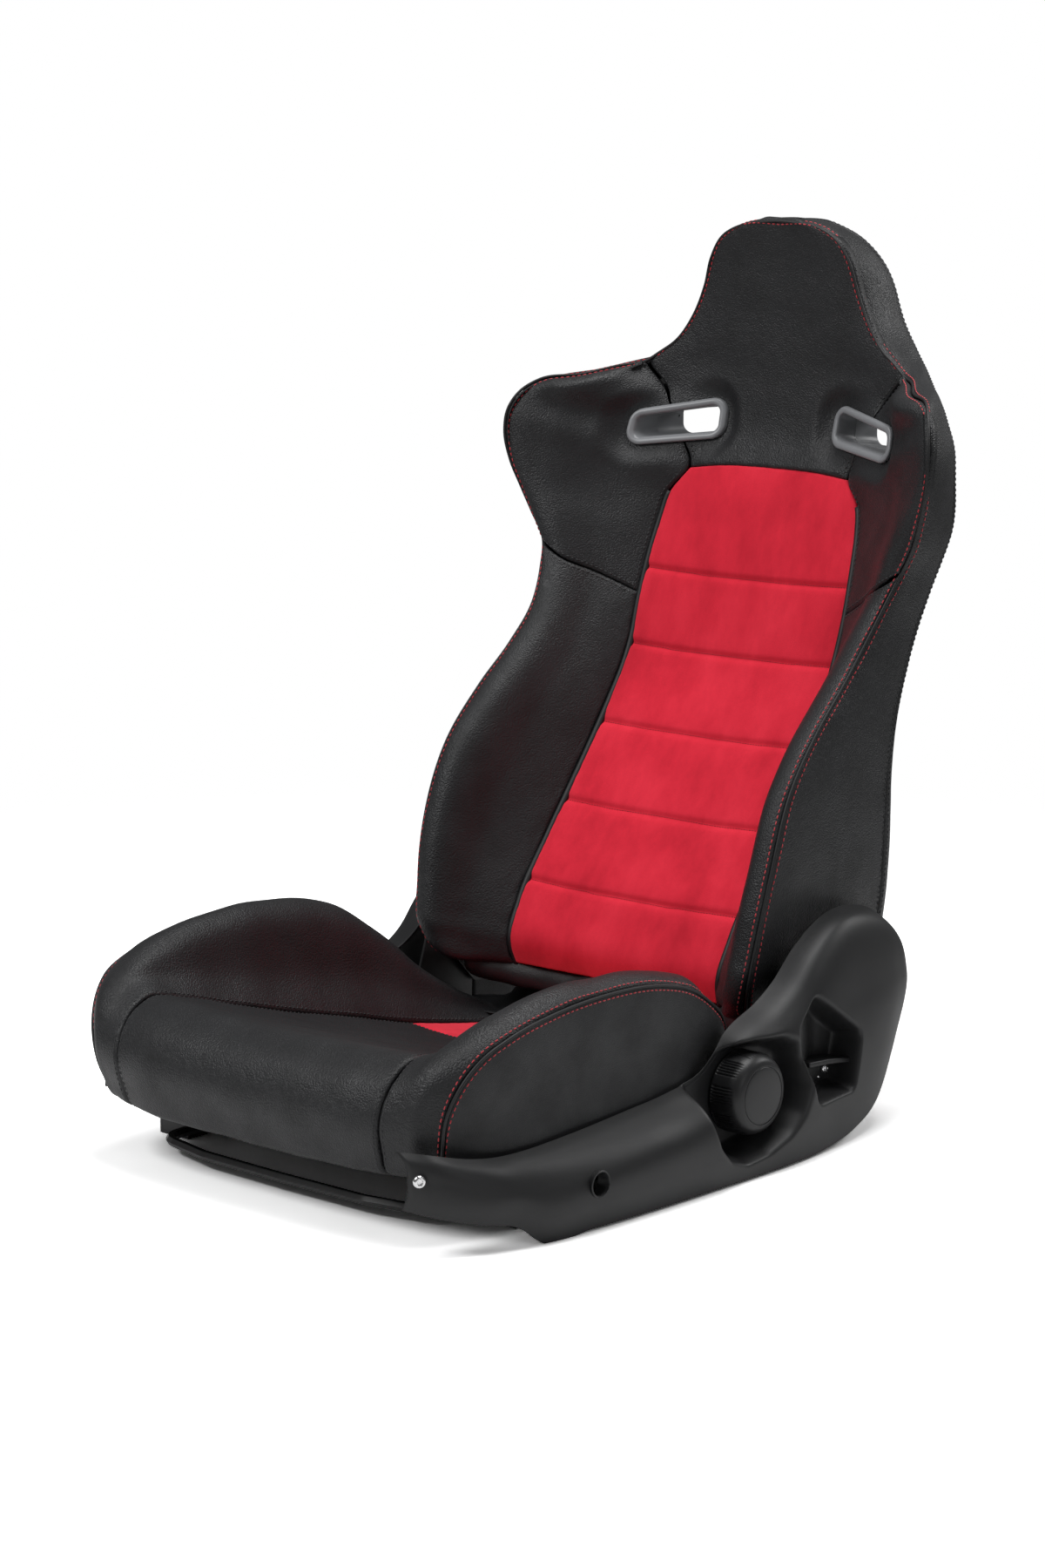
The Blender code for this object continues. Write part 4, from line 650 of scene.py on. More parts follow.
def side_row(edge, inner):
    """One row across a side panel, from its inner seam over the crest to the edge seam."""
    edge, inner = np.array(edge), np.array(inner)
    full = float(np.interp(edge[2], (0.570, 0.650, 0.712, 0.729), (1.0, 0.0, 0.0, 1.0)))
    swell = min(1.0, np.linalg.norm(edge - inner) / 0.08)
    flank = inner + (edge - inner) * 0.38
    flank[1] = inner[1] + (edge[1] - inner[1]) * (0.34 + 0.16 * full)
    crest = inner + (edge - inner) * 0.76
    rise = (edge[1] - inner[1]) * 0.20
    crest[1] = edge[1] - 0.0065 * swell * full - rise * (1 - full)
    near = inner + (edge - inner) * 0.93
    near[1] = edge[1] - (0.0050 - 0.0040 * (1 - full)) * swell - rise * 0.18 * (1 - full)
    edge = edge + unit(near - edge) * SEAM_INSET
    return [inner, flank, crest, near, edge]


def backrest_panels():
    """Side panel, shoulder panel and the rows of the insert and of the headrest."""
    side = [side_row(e, i) for e, i, _, _ in BACK]
    fold = np.array(side[0])
    under = [fold + np.array([0, 0.050, 0.000]), fold + np.array([0, 0.018, -0.0065])]
    under[0][:, 2] = np.maximum(under[0][:, 2], 0.121)
    lower = moved(under + side[:SHOULDER + 1])
    upper = moved(side[SHOULDER:])
    bolster = Panel(lower, 0.0038, "bcd")
    wing = Panel(upper, 0.0038, "abcd")
    insert_rows = []
    for _, inner, _, _ in BACK[:CORNER + 1]:
        x, y, z = inner
        insert_rows.append([(-x, y, z), (-0.62 * x, y + 0.0012, z), (0, y + 0.003, z),
                            (0.62 * x, y + 0.0012, z), (x, y, z)])
    insert_rows = np.array(insert_rows)
    insert_rows[-1, 1:4, 2] += (0.0045, 0.0060, 0.0045)
    insert_rows[-1, 1:4, 1] += 0.0012
    insert_rows[-2, 1:4, 2] += (0.0015, 0.0020, 0.0015)
    head_rows = []
    borders = [row[1] for row in BACK[CORNER:]] + [row[0] for row in CROWN]
    for index, (x, y, z) in enumerate(borders):
        middle = float(np.interp(z, HEAD_Z, HEAD_Y))
        rise = 0.006 if index == 0 else (0.003 if index == 1 else 0.0)
        top = 0.004 if index > len(borders) - 3 else 0.0
        head_rows.append([(-x, y, z), (-0.62 * x, middle - 0.002, z + rise * 0.8 + top * 0.6),
                          (0, middle, z + rise + top),
                          (0.62 * x, middle - 0.002, z + rise * 0.8 + top * 0.6), (x, y, z)])
    return bolster, wing, insert_rows, moved(head_rows)


def plane_y(x, z, side, y0, lean=TRIM_LEAN):
    """Where the slanted slot trim lies at (x, z), in world Y."""
    return y0 + SHIFT - (side * x - SLOT_X) * SLOT_TURN + lean * (z - SLOT_Z)


def trim_loop(out):
    """The tapered outline of a slot trim, `out` beyond the edge of its opening."""
    inset = TRIM_BAND - out
    corners = np.array(TRIM_CORNERS)
    middle = corners.mean(axis=0)
    moved_in = []
    for k in range(4):
        before, here, after = corners[k - 1], corners[k], corners[(k + 1) % 4]
        lines = []
        for a, b in ((before, here), (here, after)):
            across = unit(np.array([b[1] - a[1], a[0] - b[0]]))
            across *= np.sign(across @ (a - middle))
            lines.append((across, across @ here - inset))
        moved_in.append(np.linalg.solve([lines[0][0], lines[1][0]], [lines[0][1], lines[1][1]]))
    return rounded_loop(moved_in, max(0.0155 - inset, 0.0055), 10)


def press_trim(panel, depth=0.3396, blend=0.024, loop=None, lean=TRIM_LEAN):
    """The cover is pinched flat behind the slot trim and eases out around it."""
    loop = trim_loop(TRIM_BAND) if loop is None else loop
    for side in (1, -1):
        x, y, z = (panel.points[..., k] for k in range(3))
        outside = np.maximum(-inside_depth(loop, side * x, z), 0.0)
        weight = np.clip(1 - outside / blend, 0, 1)
        weight = weight * weight * (3 - 2 * weight)
        flat = plane_y(x, z, side, depth, lean)
        near = (side * x > 0.045)
        target = np.where(near, weight * (flat - y), 0.0)
        panel.points[..., 1] += np.clip(target, -0.03, 0.03)


def slot_hole(places):
    """Which faces lie where the harness slots pass, hidden behind the trim's flange."""
    return inside_depth(trim_loop(0.0045), np.abs(places[:, 0]), places[:, 2]) > 0


def clear_of_trim(points, normals):
    """Splits a stitch line where it would run under or through a slot trim."""
    under = inside_depth(trim_loop(TRIM_BAND + 0.001), np.abs(points[:, 0]), points[:, 2]) > 0
    pieces, start = [], None
    for k, hidden in enumerate(list(under) + [True]):
        if not hidden and start is None:
            start = k
        elif hidden and start is not None:
            if k - start > 2:
                pieces.append((points[start:k], normals[start:k]))
            start = None
    return pieces


def rear_hole(places):
    """The same for the rear cover, behind the ring at the back."""
    x = np.maximum(np.abs(np.abs(places[:, 0]) - SLOT_X) - 0.0265, 0)
    z = np.maximum(np.abs(places[:, 2] - SLOT_Z) - 0.0075, 0)
    return np.hypot(x, z) < 0.0125


def cut(obj, mesh):
    """Applies one exact boolean cut and drops the cutter."""
    tool = bpy.data.objects.new("cutter", mesh)
    bpy.context.scene.collection.objects.link(tool)
    modifier = obj.modifiers.new("cut", "BOOLEAN")
    modifier.operation, modifier.solver, modifier.object = "DIFFERENCE", "EXACT", tool
    bpy.context.view_layer.update()
    graph = bpy.context.evaluated_depsgraph_get()
    result = bpy.data.meshes.new_from_object(obj.evaluated_get(graph))
    obj.modifiers.clear()
    old = obj.data
    obj.data = result
    bpy.data.meshes.remove(old)
    bpy.data.objects.remove(tool, do_unlink=True)
    bpy.data.meshes.remove(mesh)


def seam_level(height, x):
    """Height of a sewn channel at x: it sags a little in the middle of the insert."""
    return height - 0.004 * (1 - (x / 0.145) ** 2)


def channels(panel, heights, depth=0.0022, width=0.0034, swell=0.0016):
    """Sewn channels across a panel, with the foam a little full between them."""
    for height in heights:
        d = np.abs(panel.base[..., 2] - seam_level(height, panel.base[..., 0]))
        panel.push(-depth * np.exp(-(d / width) ** 2) - swell * np.exp(-d / 0.012))


def channel_lines(panel, heights, lift):
    """The stitch lines in the channels, clear of the panel's side rolls."""
    lines = []
    for height in heights:
        points, normals = [], []
        for column in range(panel.points.shape[1]):
            z = panel.base[:, column, 2]
            level = seam_level(height, panel.base[len(z) // 2, column, 0])
            k = int(np.argmin(np.abs(z - level)))
            points.append(panel.points[k, column])
            normals.append(panel.normal[k, column])
        points, normals = np.array(points)[3:-3], np.array(normals)[3:-3]
        lines.append((points + normals * lift, normals))
    return lines


def make_backrest():
    """The front of the backrest; returns the lines for the red and the black stitches."""
    bolster, wing, insert_rows, head_rows = backrest_panels()
    red_lines, black_lines = [], []
    wing.normal[-8:] = wing.normal[-9:-8]           # the tip is too narrow for its own normals
    middle = moved(insert_rows)
    run = arc(spline(middle[:, 2], np.linspace(0, len(middle) - 1, 2000)))
    zs = spline(middle[:, 2], np.linspace(0, len(middle) - 1, 2000))[:, 2]
    marks = [float(np.interp(h, zs, run)) for h in SEAM_HEIGHTS]
    insert = Panel(middle, 0.0032, "abcd", extra_rows=marks)
    insert.sew("back_centre")
    channels(insert, SEAM_HEIGHTS)
    insert.solid("back_centre_panel", (0, 0.020, 0), SUEDE, "backrest",
                 ["back_insert"], 0.95)
    stitch("back_centre_stitching", channel_lines(insert, SEAM_HEIGHTS, 0.0002), THREAD_SEAM,
           "backrest", FINE_STITCH)

    head = Panel(head_rows, 0.0038, "abcd", relax=3)
    head.sew("headrest")
    press_trim(head)
    head.solid("headrest_cover", 0.006, HIDE, "backrest",
               ["headrest_pad"], 0.95, slot_hole)
    red_lines.append(head.line("b", 0.0058))
    for edge in "cd":
        points, normals = head.line(edge, 0.0054)
        crown = points[:, 2] > 0.7490
        red_lines.append((points[crown], normals[crown]))
        black_lines += clear_of_trim(points[~crown], normals[~crown])

    for label, side, inner, outer, lower, upper in halves(bolster, wing):
        lower.sew("back_side", side)
        upper.sew("shoulder", side)
        crumple(lower, side)
        width = np.linalg.norm(upper.base[:, 0] - upper.base[:, -1], axis=-1)[:, None, None]
        upper.points = upper.base + (upper.points - upper.base) * np.clip(width / 0.024, 0, 1)
        press_trim(upper)
        lower.solid("back_side_bolster_" + label, 0.005, HIDE, "backrest",
                    ["back_bolster_" + label], 0.95)
        upper.solid("shoulder_bolster_" + label, 0.005, HIDE, "backrest",
                    ["shoulder_wing_" + label], 0.95, slot_hole)
        red_lines += [lower.line(outer, 0.0058), upper.line(outer, 0.0058)]
        black_lines += [lower.line("b", 0.0045), upper.line("a", 0.0045)]
        black_lines += clear_of_trim(*upper.line(inner, 0.0050))
    return red_lines, black_lines


def crumple(panel, side):
    """Slack folds where the lower bolster meets the cushion and turns under."""
    x, z = panel.base[..., 0], panel.base[..., 2]
    low = np.clip((0.235 - z) / 0.10, 0, 1) ** 1.5
    phase = z * 210 + 2.4 * np.sin(x * 33) + side * 0.9
    panel.push(0.0011 * low * np.sin(phase) * (0.6 + 0.4 * waves(panel.base, 0.06, 77)))


def make_seam_backing():
    """A dark cord behind each inner seam closes the gap between the rolled panel edges."""
    inner = moved([row[1] for row in BACK]) + (0.0, 0.0052, 0.0)
    for label, sign in (("left", 1), ("right", -1)):
        path = spline(inner * (sign, 1, 1), np.linspace(0, CORNER - 1, 200))
        welt("back_seam_backing_" + label, path, 0.0040, "backrest")


RED_LINES, BLACK_LINES = make_backrest()
make_seam_backing()
stitch("edge_stitching_front", RED_LINES, THREAD_RED, "backrest", RED_STITCH)
stitch("panel_stitching", BLACK_LINES, THREAD_BLACK, "backrest", BLACK_STITCH)


# ------------------------------------------------------------------------- back cover
def cover_stations():
    """Edge seam, rear corner and rear middle of every station of one half, in the world."""
    rows = [(e, c, (0.0, r, c[2])) for e, _, c, r in BACK]
    rows += [(e, c, (0.0, r, c[2])) for e, c, r in CROWN]
    rows += [((0.022, 0.3478, 0.8988), (0.020, 0.3965, 0.8995), (0.0, 0.3985, 0.9002))]
    return [tuple(np.array(p, float) + (0.0, SHIFT, 0.0) for p in row) for row in rows]


def make_cover():
    """The gusset round the edge, the rear panel and the seams between."""
    half = cover_stations()
    flip = np.array([-1.0, 1.0, 1.0])
    top = (np.array((0.0, 0.3478 + SHIFT, 0.9000)), np.array((0.0, 0.3985 + SHIFT, 0.9008)))
    pairs = [(e, c) for e, c, _ in half] + [top] + [(e * flip, c * flip)
                                                     for e, c, _ in reversed(half)]
    edges = np.array([e for e, _ in pairs])
    heading = np.gradient(edges, axis=0)
    strip = []
    for (edge, corner), along in zip(pairs, heading):
        length = np.linalg.norm(corner - edge)
        across = unit(corner - edge)
        outward = unit(np.cross(across, along))
        swell = 0.0030 * min(1.0, length / 0.08)
        strip.append([edge + across * (SEAM_INSET + 0.0018)]
                     + [edge + across * length * share + outward * swell * rise
                        for share, rise in ((0.22, 0.8), (0.48, 1.0), (0.76, 0.7))]
                     + [edge + across * (length * REAR_SEAM - REAR_GAP)])
    gusset = Panel(strip, 0.0040, "cd", (0, 0, 1), relax=3, guide=3)
    gusset.sew("back_gusset")
    red = [gusset.line("c", 0.0048)]
    back_seam = [gusset.line("d", 0.0040)]
    gusset.solid("back_side_gusset", 0.0035, HIDE, "backrest",
                 ["back_cover"], 0.85)

    rows = []
    for edge, corner, middle in half[:-1]:
        across = unit(corner - edge)
        start = edge + across * (np.linalg.norm(corner - edge) * REAR_SEAM + REAR_GAP)
        bend = corner + np.array((-0.006, 0.0015, 0.0)) * min(1.0, corner[0] / 0.08)
        quarter = corner * (0.78, 1, 1)
        quarter[1] = corner[1] + (middle[1] - corner[1]) * 0.44
        mid = corner * (0.50, 1, 1)
        mid[1] = corner[1] + (middle[1] - corner[1]) * 0.78
        left = [start, bend, quarter, mid]
        rows.append(left + [middle] + [p * flip for p in reversed(left)])
    rows = np.array(rows)
    rows[-1, 2:-2, 2] += (0.0006, 0.0015, 0.0022, 0.0015, 0.0006)
    rear = Panel(rows, 0.0050, "cd", (0, 1, 0), relax=3, guide=12)
    rear.sew("back_rear", slack_first=True)
    ring = rounded_loop([(0.170, 0.7075), (0.077, 0.7075), (0.077, 0.6525), (0.170, 0.6525)], 0.012)
    press_trim(rear, 0.3962, 0.009, ring, 0.0)
    back_seam += [rear.line("c", 0.0040), rear.line("d", 0.0040)]
    rear.solid("back_rear_panel", 0.0035, HIDE, "backrest", ["back_cover"],
               0.85, rear_hole)
    stitch("edge_stitching_gusset", red, THREAD_RED, "backrest", RED_STITCH)
    stitch("back_seam_stitching", back_seam, THREAD_BLACK, "backrest", BACK_STITCH)
    inward = []
    for (edge, corner), along in zip(pairs, heading):
        across = unit(corner - edge)
        outward = unit(np.cross(across, along))
        inward.append(edge + across * WELT_DEPTH - outward * WELT_DEPTH)
    cord = spline(np.array(inward), np.linspace(0, len(inward) - 1, 900))
    welt("back_edge_welt", cord, WELT_RADIUS, "backrest")


make_cover()


# ----------------------------------------------------------------------- cushion data
# Rows of middle, panel seam, crest, edge seam, then the underside's y and z, rear to front.
CUSHION = [
    ((0, 0.100, 0.060), (0.150, 0.100, 0.063), (0.192, 0.100, 0.068), (0.219, 0.099, 0.062),
     0.100, 0.040),
    ((0, 0.050, 0.058), (0.152, 0.050, 0.063), (0.196, 0.050, 0.092), (0.222, 0.048, 0.084),
     0.050, 0.040),
    ((0, 0.000, 0.064), (0.155, 0.000, 0.070), (0.206, 0.002, 0.128), (0.231, 0.000, 0.119),
     0.000, 0.041),
    ((0, -0.050, 0.073), (0.158, -0.050, 0.079), (0.220, -0.038, 0.166), (0.248, -0.036, 0.154),
     -0.045, 0.052),
    ((0, -0.095, 0.083), (0.160, -0.095, 0.090), (0.231, -0.085, 0.198), (0.257, -0.085, 0.1855),
     -0.090, 0.062),
    ((0, -0.150, 0.096), (0.162, -0.150, 0.103), (0.235, -0.145, 0.2125), (0.262, -0.145, 0.2025),
     -0.145, 0.062),
    ((0, -0.220, 0.113), (0.164, -0.220, 0.121), (0.235, -0.220, 0.2185), (0.262, -0.220, 0.2065),
     -0.210, 0.062),
    ((0, -0.290, 0.132), (0.168, -0.290, 0.140), (0.233, -0.290, 0.2140), (0.261, -0.290, 0.2010),
     -0.270, 0.062),
    ((0, -0.350, 0.150), (0.174, -0.350, 0.157), (0.231, -0.350, 0.2005), (0.260, -0.348, 0.1895),
     -0.320, 0.062),
    ((0, -0.400, 0.160), (0.179, -0.396, 0.166), (0.228, -0.394, 0.1810), (0.256, -0.385, 0.1730),
     -0.352, 0.062),
    ((0, -0.433, 0.142), (0.180, -0.427, 0.147), (0.224, -0.420, 0.155), (0.250, -0.403, 0.153),
     -0.372, 0.062),
    ((0, -0.447, 0.110), (0.178, -0.441, 0.114), (0.218, -0.432, 0.120), (0.242, -0.414, 0.124),
     -0.388, 0.062),
    ((0, -0.442, 0.080), (0.176, -0.437, 0.083), (0.214, -0.428, 0.088), (0.236, -0.413, 0.094),
     -0.400, 0.062),
    ((0, -0.430, 0.056), (0.174, -0.426, 0.058), (0.209, -0.418, 0.062), (0.229, -0.406, 0.070),
     -0.404, 0.0645),
]
INSERT_ROWS = 4                     # the red insert spans the first rows
SIDE_GAP = 0.0009                   # half the seam between two cushion panels


def cushion_side(row):
    """One row over a side bolster, from the panel seam to the edge seam."""
    _, seam, crest, edge, _, _ = (np.array(v, float) for v in row)
    flank = seam + (crest - seam) * 0.42
    flank[2] -= 0.10 * (crest[2] - seam[2])
    shoulder = seam + (crest - seam) * 0.78
    shoulder[2] = seam[2] + (crest[2] - seam[2]) * 0.90
    out = np.array((edge[2] - crest[2], 0.0, crest[0] - edge[0]))
    out = -out / max(np.linalg.norm(out), 1e-6)
    near = (crest + edge) / 2 + out * 0.0035
    stop = edge + unit(near - edge) * SEAM_INSET
    return [seam + (SIDE_GAP, 0, 0), flank, shoulder, crest, near, stop]


def cushion_gusset(row):
    """One row down the outer side of a bolster and under it."""
    _, _, _, edge, under_y, under_z = row
    edge = np.array(edge, float)
    tuck = 0.003 if under_y < -0.08 else 0.012
    low = np.array((edge[0] - tuck - 0.006, under_y, under_z))
    start = edge + unit(low - edge) * (SEAM_INSET + 0.0002)
    upper = np.array((edge[0] - 0.0005, edge[1] + (under_y - edge[1]) * 0.25,
                      edge[2] + (under_z - edge[2]) * 0.25))
    middle = np.array((edge[0] - tuck, (edge[1] + under_y) / 2, (edge[2] + under_z) / 2))
    turn = np.array((low[0] - 0.014, under_y, under_z - 0.0015))
    return [start, upper, middle, low, turn]


def make_cushion():
    """Insert, front, side bolsters and gussets of the cushion, with their seams."""
    front_under = 0.0165
    rows = [[(-s[0] + SIDE_GAP, s[1], s[2]), (-s[0] * 0.55, m[1], m[2] + 0.001), m,
             (s[0] * 0.55, m[1], m[2] + 0.001), (s[0] - SIDE_GAP, s[1], s[2])]
            for m, s, _, _, _, _ in CUSHION]
    insert = Panel(moved(rows[:INSERT_ROWS]), 0.0032, "abcd", (0, 0, 1))
    insert.sew("cushion_centre")
    insert.solid("cushion_centre_panel", (0, 0, -0.016), SUEDE, "seat_base",
                 ["cushion_insert"], 0.95)
    front_rows = rows[INSERT_ROWS - 1:]
    last = np.array(front_rows[-1], float) + (0.0, front_under, -0.0035)
    front_rows = np.array(front_rows + [last.tolist()], float)
    front_rows[0, :, 1] -= 0.0012
    front = Panel(moved(front_rows), 0.0036, "acd", (0, -0.7, 0.7), relax=3)
    front.sew("cushion_front")
    front.solid("cushion_centre_front", 0.006, HIDE, "seat_base",
                ["cushion_front_panel"], 0.95)
    black = [front.line("c", 0.0042), front.line("d", 0.0042), front.line("a", 0.0042)]

    top_rows = [cushion_side(row) for row in CUSHION]
    last = np.array(top_rows[-1]) + (0.0, front_under * 0.9, -0.0035)
    last[-1] = last[-2] + (0.004, 0.004, 0.003)
    top = Panel(moved(top_rows + [last.tolist()]), 0.0036, "acd", (0, -0.3, 1), relax=3)
    side = Panel(moved([cushion_gusset(row) for row in CUSHION]), 0.0036, "cd", (1, -0.3, 0),
                 relax=3, guide=6)
    red = []
    for label, sign, inner, outer, upper, lower in halves(top, side):
        upper.sew("cushion_side", sign)
        lower.sew("cushion_gusset", sign)
        upper.solid("cushion_side_bolster_" + label, 0.006, HIDE, "seat_base",
                    ["cushion_bolster_" + label], 0.95)
        lower.solid("cushion_gusset_" + label, 0.0035, HIDE_SMOOTH, "seat_base",
                    ["cushion_bolster_" + label], 0.85)
        red += [upper.line(outer, 0.0042), lower.line(inner, 0.0042)]
        black.append(upper.line(inner, 0.0042))
        seam = moved([row[3] for row in CUSHION])
        seam = (seam - (WELT_DEPTH, 0.0, WELT_DEPTH)) * (sign, 1, 1)
        cord = spline(seam, np.linspace(0, len(seam) - 1, 260))
        welt("cushion_edge_welt_" + label, cord, WELT_RADIUS, "seat_base")
    stitch("cushion_edge_stitching", red, THREAD_RED, "seat_base", RED_STITCH)
    stitch("cushion_panel_stitching", black, THREAD_BLACK, "seat_base", BLACK_STITCH)


make_cushion()


# ----------------------------------------------------------------------- shield data
# Stations along Y with (x, z) from the top edge to the hem, for the dial side.
SHIELD = [
    (-0.451, [(0.212, 0.094), (0.221, 0.088), (0.226, 0.070), (0.225, 0.053), (0.219, 0.041)]),
    (-0.438, [(0.236, 0.093), (0.245, 0.086), (0.251, 0.067), (0.251, 0.048), (0.246, 0.036)]),
    (-0.400, [(0.256, 0.085), (0.267, 0.078), (0.277, 0.058), (0.278, 0.040), (0.272, 0.026)]),
    (-0.365, [(0.261, 0.081), (0.273, 0.075), (0.288, 0.055), (0.290, 0.036), (0.285, 0.018)]),
    (-0.345, [(0.263, 0.081), (0.276, 0.075), (0.293, 0.053), (0.297, 0.028), (0.290, 0.002)]),
    (-0.280, [(0.265, 0.084), (0.279, 0.078), (0.301, 0.056), (0.306, 0.028), (0.299, 0.002)]),
    (-0.200, [(0.265, 0.090), (0.280, 0.084), (0.305, 0.062), (0.310, 0.030), (0.303, 0.002)]),
    (-0.135, [(0.265, 0.096), (0.280, 0.091), (0.306, 0.068), (0.311, 0.032), (0.304, 0.002)]),
    (-0.085, [(0.264, 0.106), (0.281, 0.102), (0.306, 0.080), (0.311, 0.034), (0.304, 0.002)]),
    (-0.045, [(0.260, 0.138), (0.281, 0.132), (0.306, 0.098), (0.311, 0.036), (0.304, 0.002)]),
    (0.005, [(0.257, 0.157), (0.281, 0.150), (0.305, 0.106), (0.310, 0.038), (0.303, 0.002)]),
    (0.035, [(0.254, 0.172), (0.279, 0.166), (0.303, 0.112), (0.308, 0.044), (0.301, 0.002)]),
    (0.070, [(0.251, 0.199), (0.276, 0.193), (0.299, 0.126), (0.304, 0.054), (0.298, 0.004)]),
    (0.125, [(0.248, 0.225), (0.271, 0.219), (0.292, 0.140), (0.297, 0.064), (0.291, 0.012)]),
    (0.175, [(0.247, 0.226), (0.267, 0.217), (0.286, 0.148), (0.288, 0.083), (0.280, 0.030)]),
    (0.212, [(0.247, 0.212), (0.263, 0.203), (0.278, 0.152), (0.277, 0.107), (0.268, 0.064)]),
    (0.238, [(0.247, 0.188), (0.258, 0.181), (0.268, 0.153), (0.267, 0.127), (0.259, 0.100)]),
    (0.248, [(0.247, 0.168), (0.252, 0.164), (0.258, 0.150), (0.258, 0.139), (0.254, 0.129)]),
]
SHIELD_NOSE = [
    (-0.290, [(0.2580, 0.066), (0.2605, 0.063), (0.2630, 0.048), (0.2635, 0.030), (0.260, 0.010)]),
    (-0.282, [(0.2615, 0.077), (0.2700, 0.072), (0.2800, 0.053), (0.2815, 0.029), (0.276, 0.005)]),
    (-0.264, [(0.2640, 0.084), (0.2765, 0.079), (0.2950, 0.057), (0.2985, 0.028), (0.292, 0.002)]),
    (-0.236, [(0.2650, 0.087), (0.2795, 0.081), (0.3030, 0.060), (0.3080, 0.029), (0.301, 0.002)]),
]
SHIELD_LOW = [
    (-0.045, [(0.260, 0.109), (0.281, 0.104), (0.306, 0.084), (0.311, 0.036), (0.304, 0.002)]),
    (0.005, [(0.257, 0.120), (0.281, 0.115), (0.305, 0.091), (0.310, 0.038), (0.303, 0.002)]),
    (0.035, [(0.254, 0.131), (0.279, 0.126), (0.303, 0.098), (0.308, 0.044), (0.301, 0.002)]),
    (0.065, [(0.252, 0.153), (0.277, 0.148), (0.299, 0.111), (0.304, 0.052), (0.298, 0.004)]),
    (0.092, [(0.251, 0.190), (0.275, 0.184), (0.296, 0.130), (0.301, 0.058), (0.296, 0.007)]),
    (0.130, [(0.249, 0.208), (0.272, 0.201), (0.291, 0.140), (0.295, 0.068), (0.289, 0.015)]),
    (0.180, [(0.247, 0.200), (0.266, 0.191), (0.282, 0.138), (0.285, 0.083), (0.276, 0.036)]),
    (0.210, [(0.247, 0.174), (0.258, 0.168), (0.268, 0.136), (0.268, 0.105), (0.262, 0.074)]),
    (0.222, [(0.247, 0.154), (0.252, 0.150), (0.257, 0.134), (0.257, 0.120), (0.253, 0.106)]),
]
RECESS = [(-0.122, 0.100), (-0.113, 0.066), (-0.105, 0.044), (-0.088, 0.026), (-0.064, 0.019),
          (-0.032, 0.023), (0.000, 0.034), (0.023, 0.052), (0.036, 0.076), (0.037, 0.103),
          (0.027, 0.120), (0.004, 0.130), (-0.030, 0.131), (-0.062, 0.129), (-0.095, 0.121)]
POCKET = [(0.056, 0.159), (0.024, 0.131), (0.047, 0.056), (0.113, 0.056), (0.127, 0.110)]
KNOB = (-0.034 + SHIFT, 0.078)
ACCESS_HOLES = {1: (-0.279, 0.045), -1: (-0.215, 0.045)}
SHIELD_SCREWS = {"left": ((0.2350, -0.446, 0.071), (0.86, -0.51, 0.0)),
                 "right": ((-0.2812, -0.2752, 0.052), (-0.72, -0.68, 0.10))}
HINGE = (0.105, 0.150)


def ease(t):
    """Smooth step with flat ends."""
    t = np.clip(t, 0, 1)
    return t * t * t * (t * (6 * t - 15) + 10)


def blur(field, passes):
    """Softens a height field on its grid."""
    for _ in range(passes):
        for axis in (0, 1):
            edged = np.concatenate([field.take([0], axis), field, field.take([-1], axis)], axis)
            count = field.shape[axis]
            field = (edged.take(range(count), axis) + 2 * edged.take(range(1, count + 1), axis)
                     + edged.take(range(2, count + 2), axis)) / 4
    return field


def shield_grid(stations, side, dense):
    """The shield's skin, even along Y and finer round the bowl and the pocket."""
    control = np.array([[(x, y + SHIFT, z) for x, z in row] for y, row in stations])
    fine = np.linspace(0, len(control) - 1, 3000)
    ys = spline(control[:, 2], fine)[:, 1]
    marks, here = [ys[0]], ys[0]
    while here < ys[-1] - 0.001:
        here += 0.00125 if dense and -0.125 < here < 0.160 else 0.0025
        marks.append(min(here, ys[-1]))
    rows = np.interp(marks, ys, fine)
    columns = np.linspace(0, control.shape[1] - 1, 150 if dense else 90)
    across = np.moveaxis(spline(np.moveaxis(control, 1, 0), columns), 0, 1)
    grid = spline(across, rows)
    return smooth(smooth(grid, 4, 0), 3, 1) * (side, 1, 1)


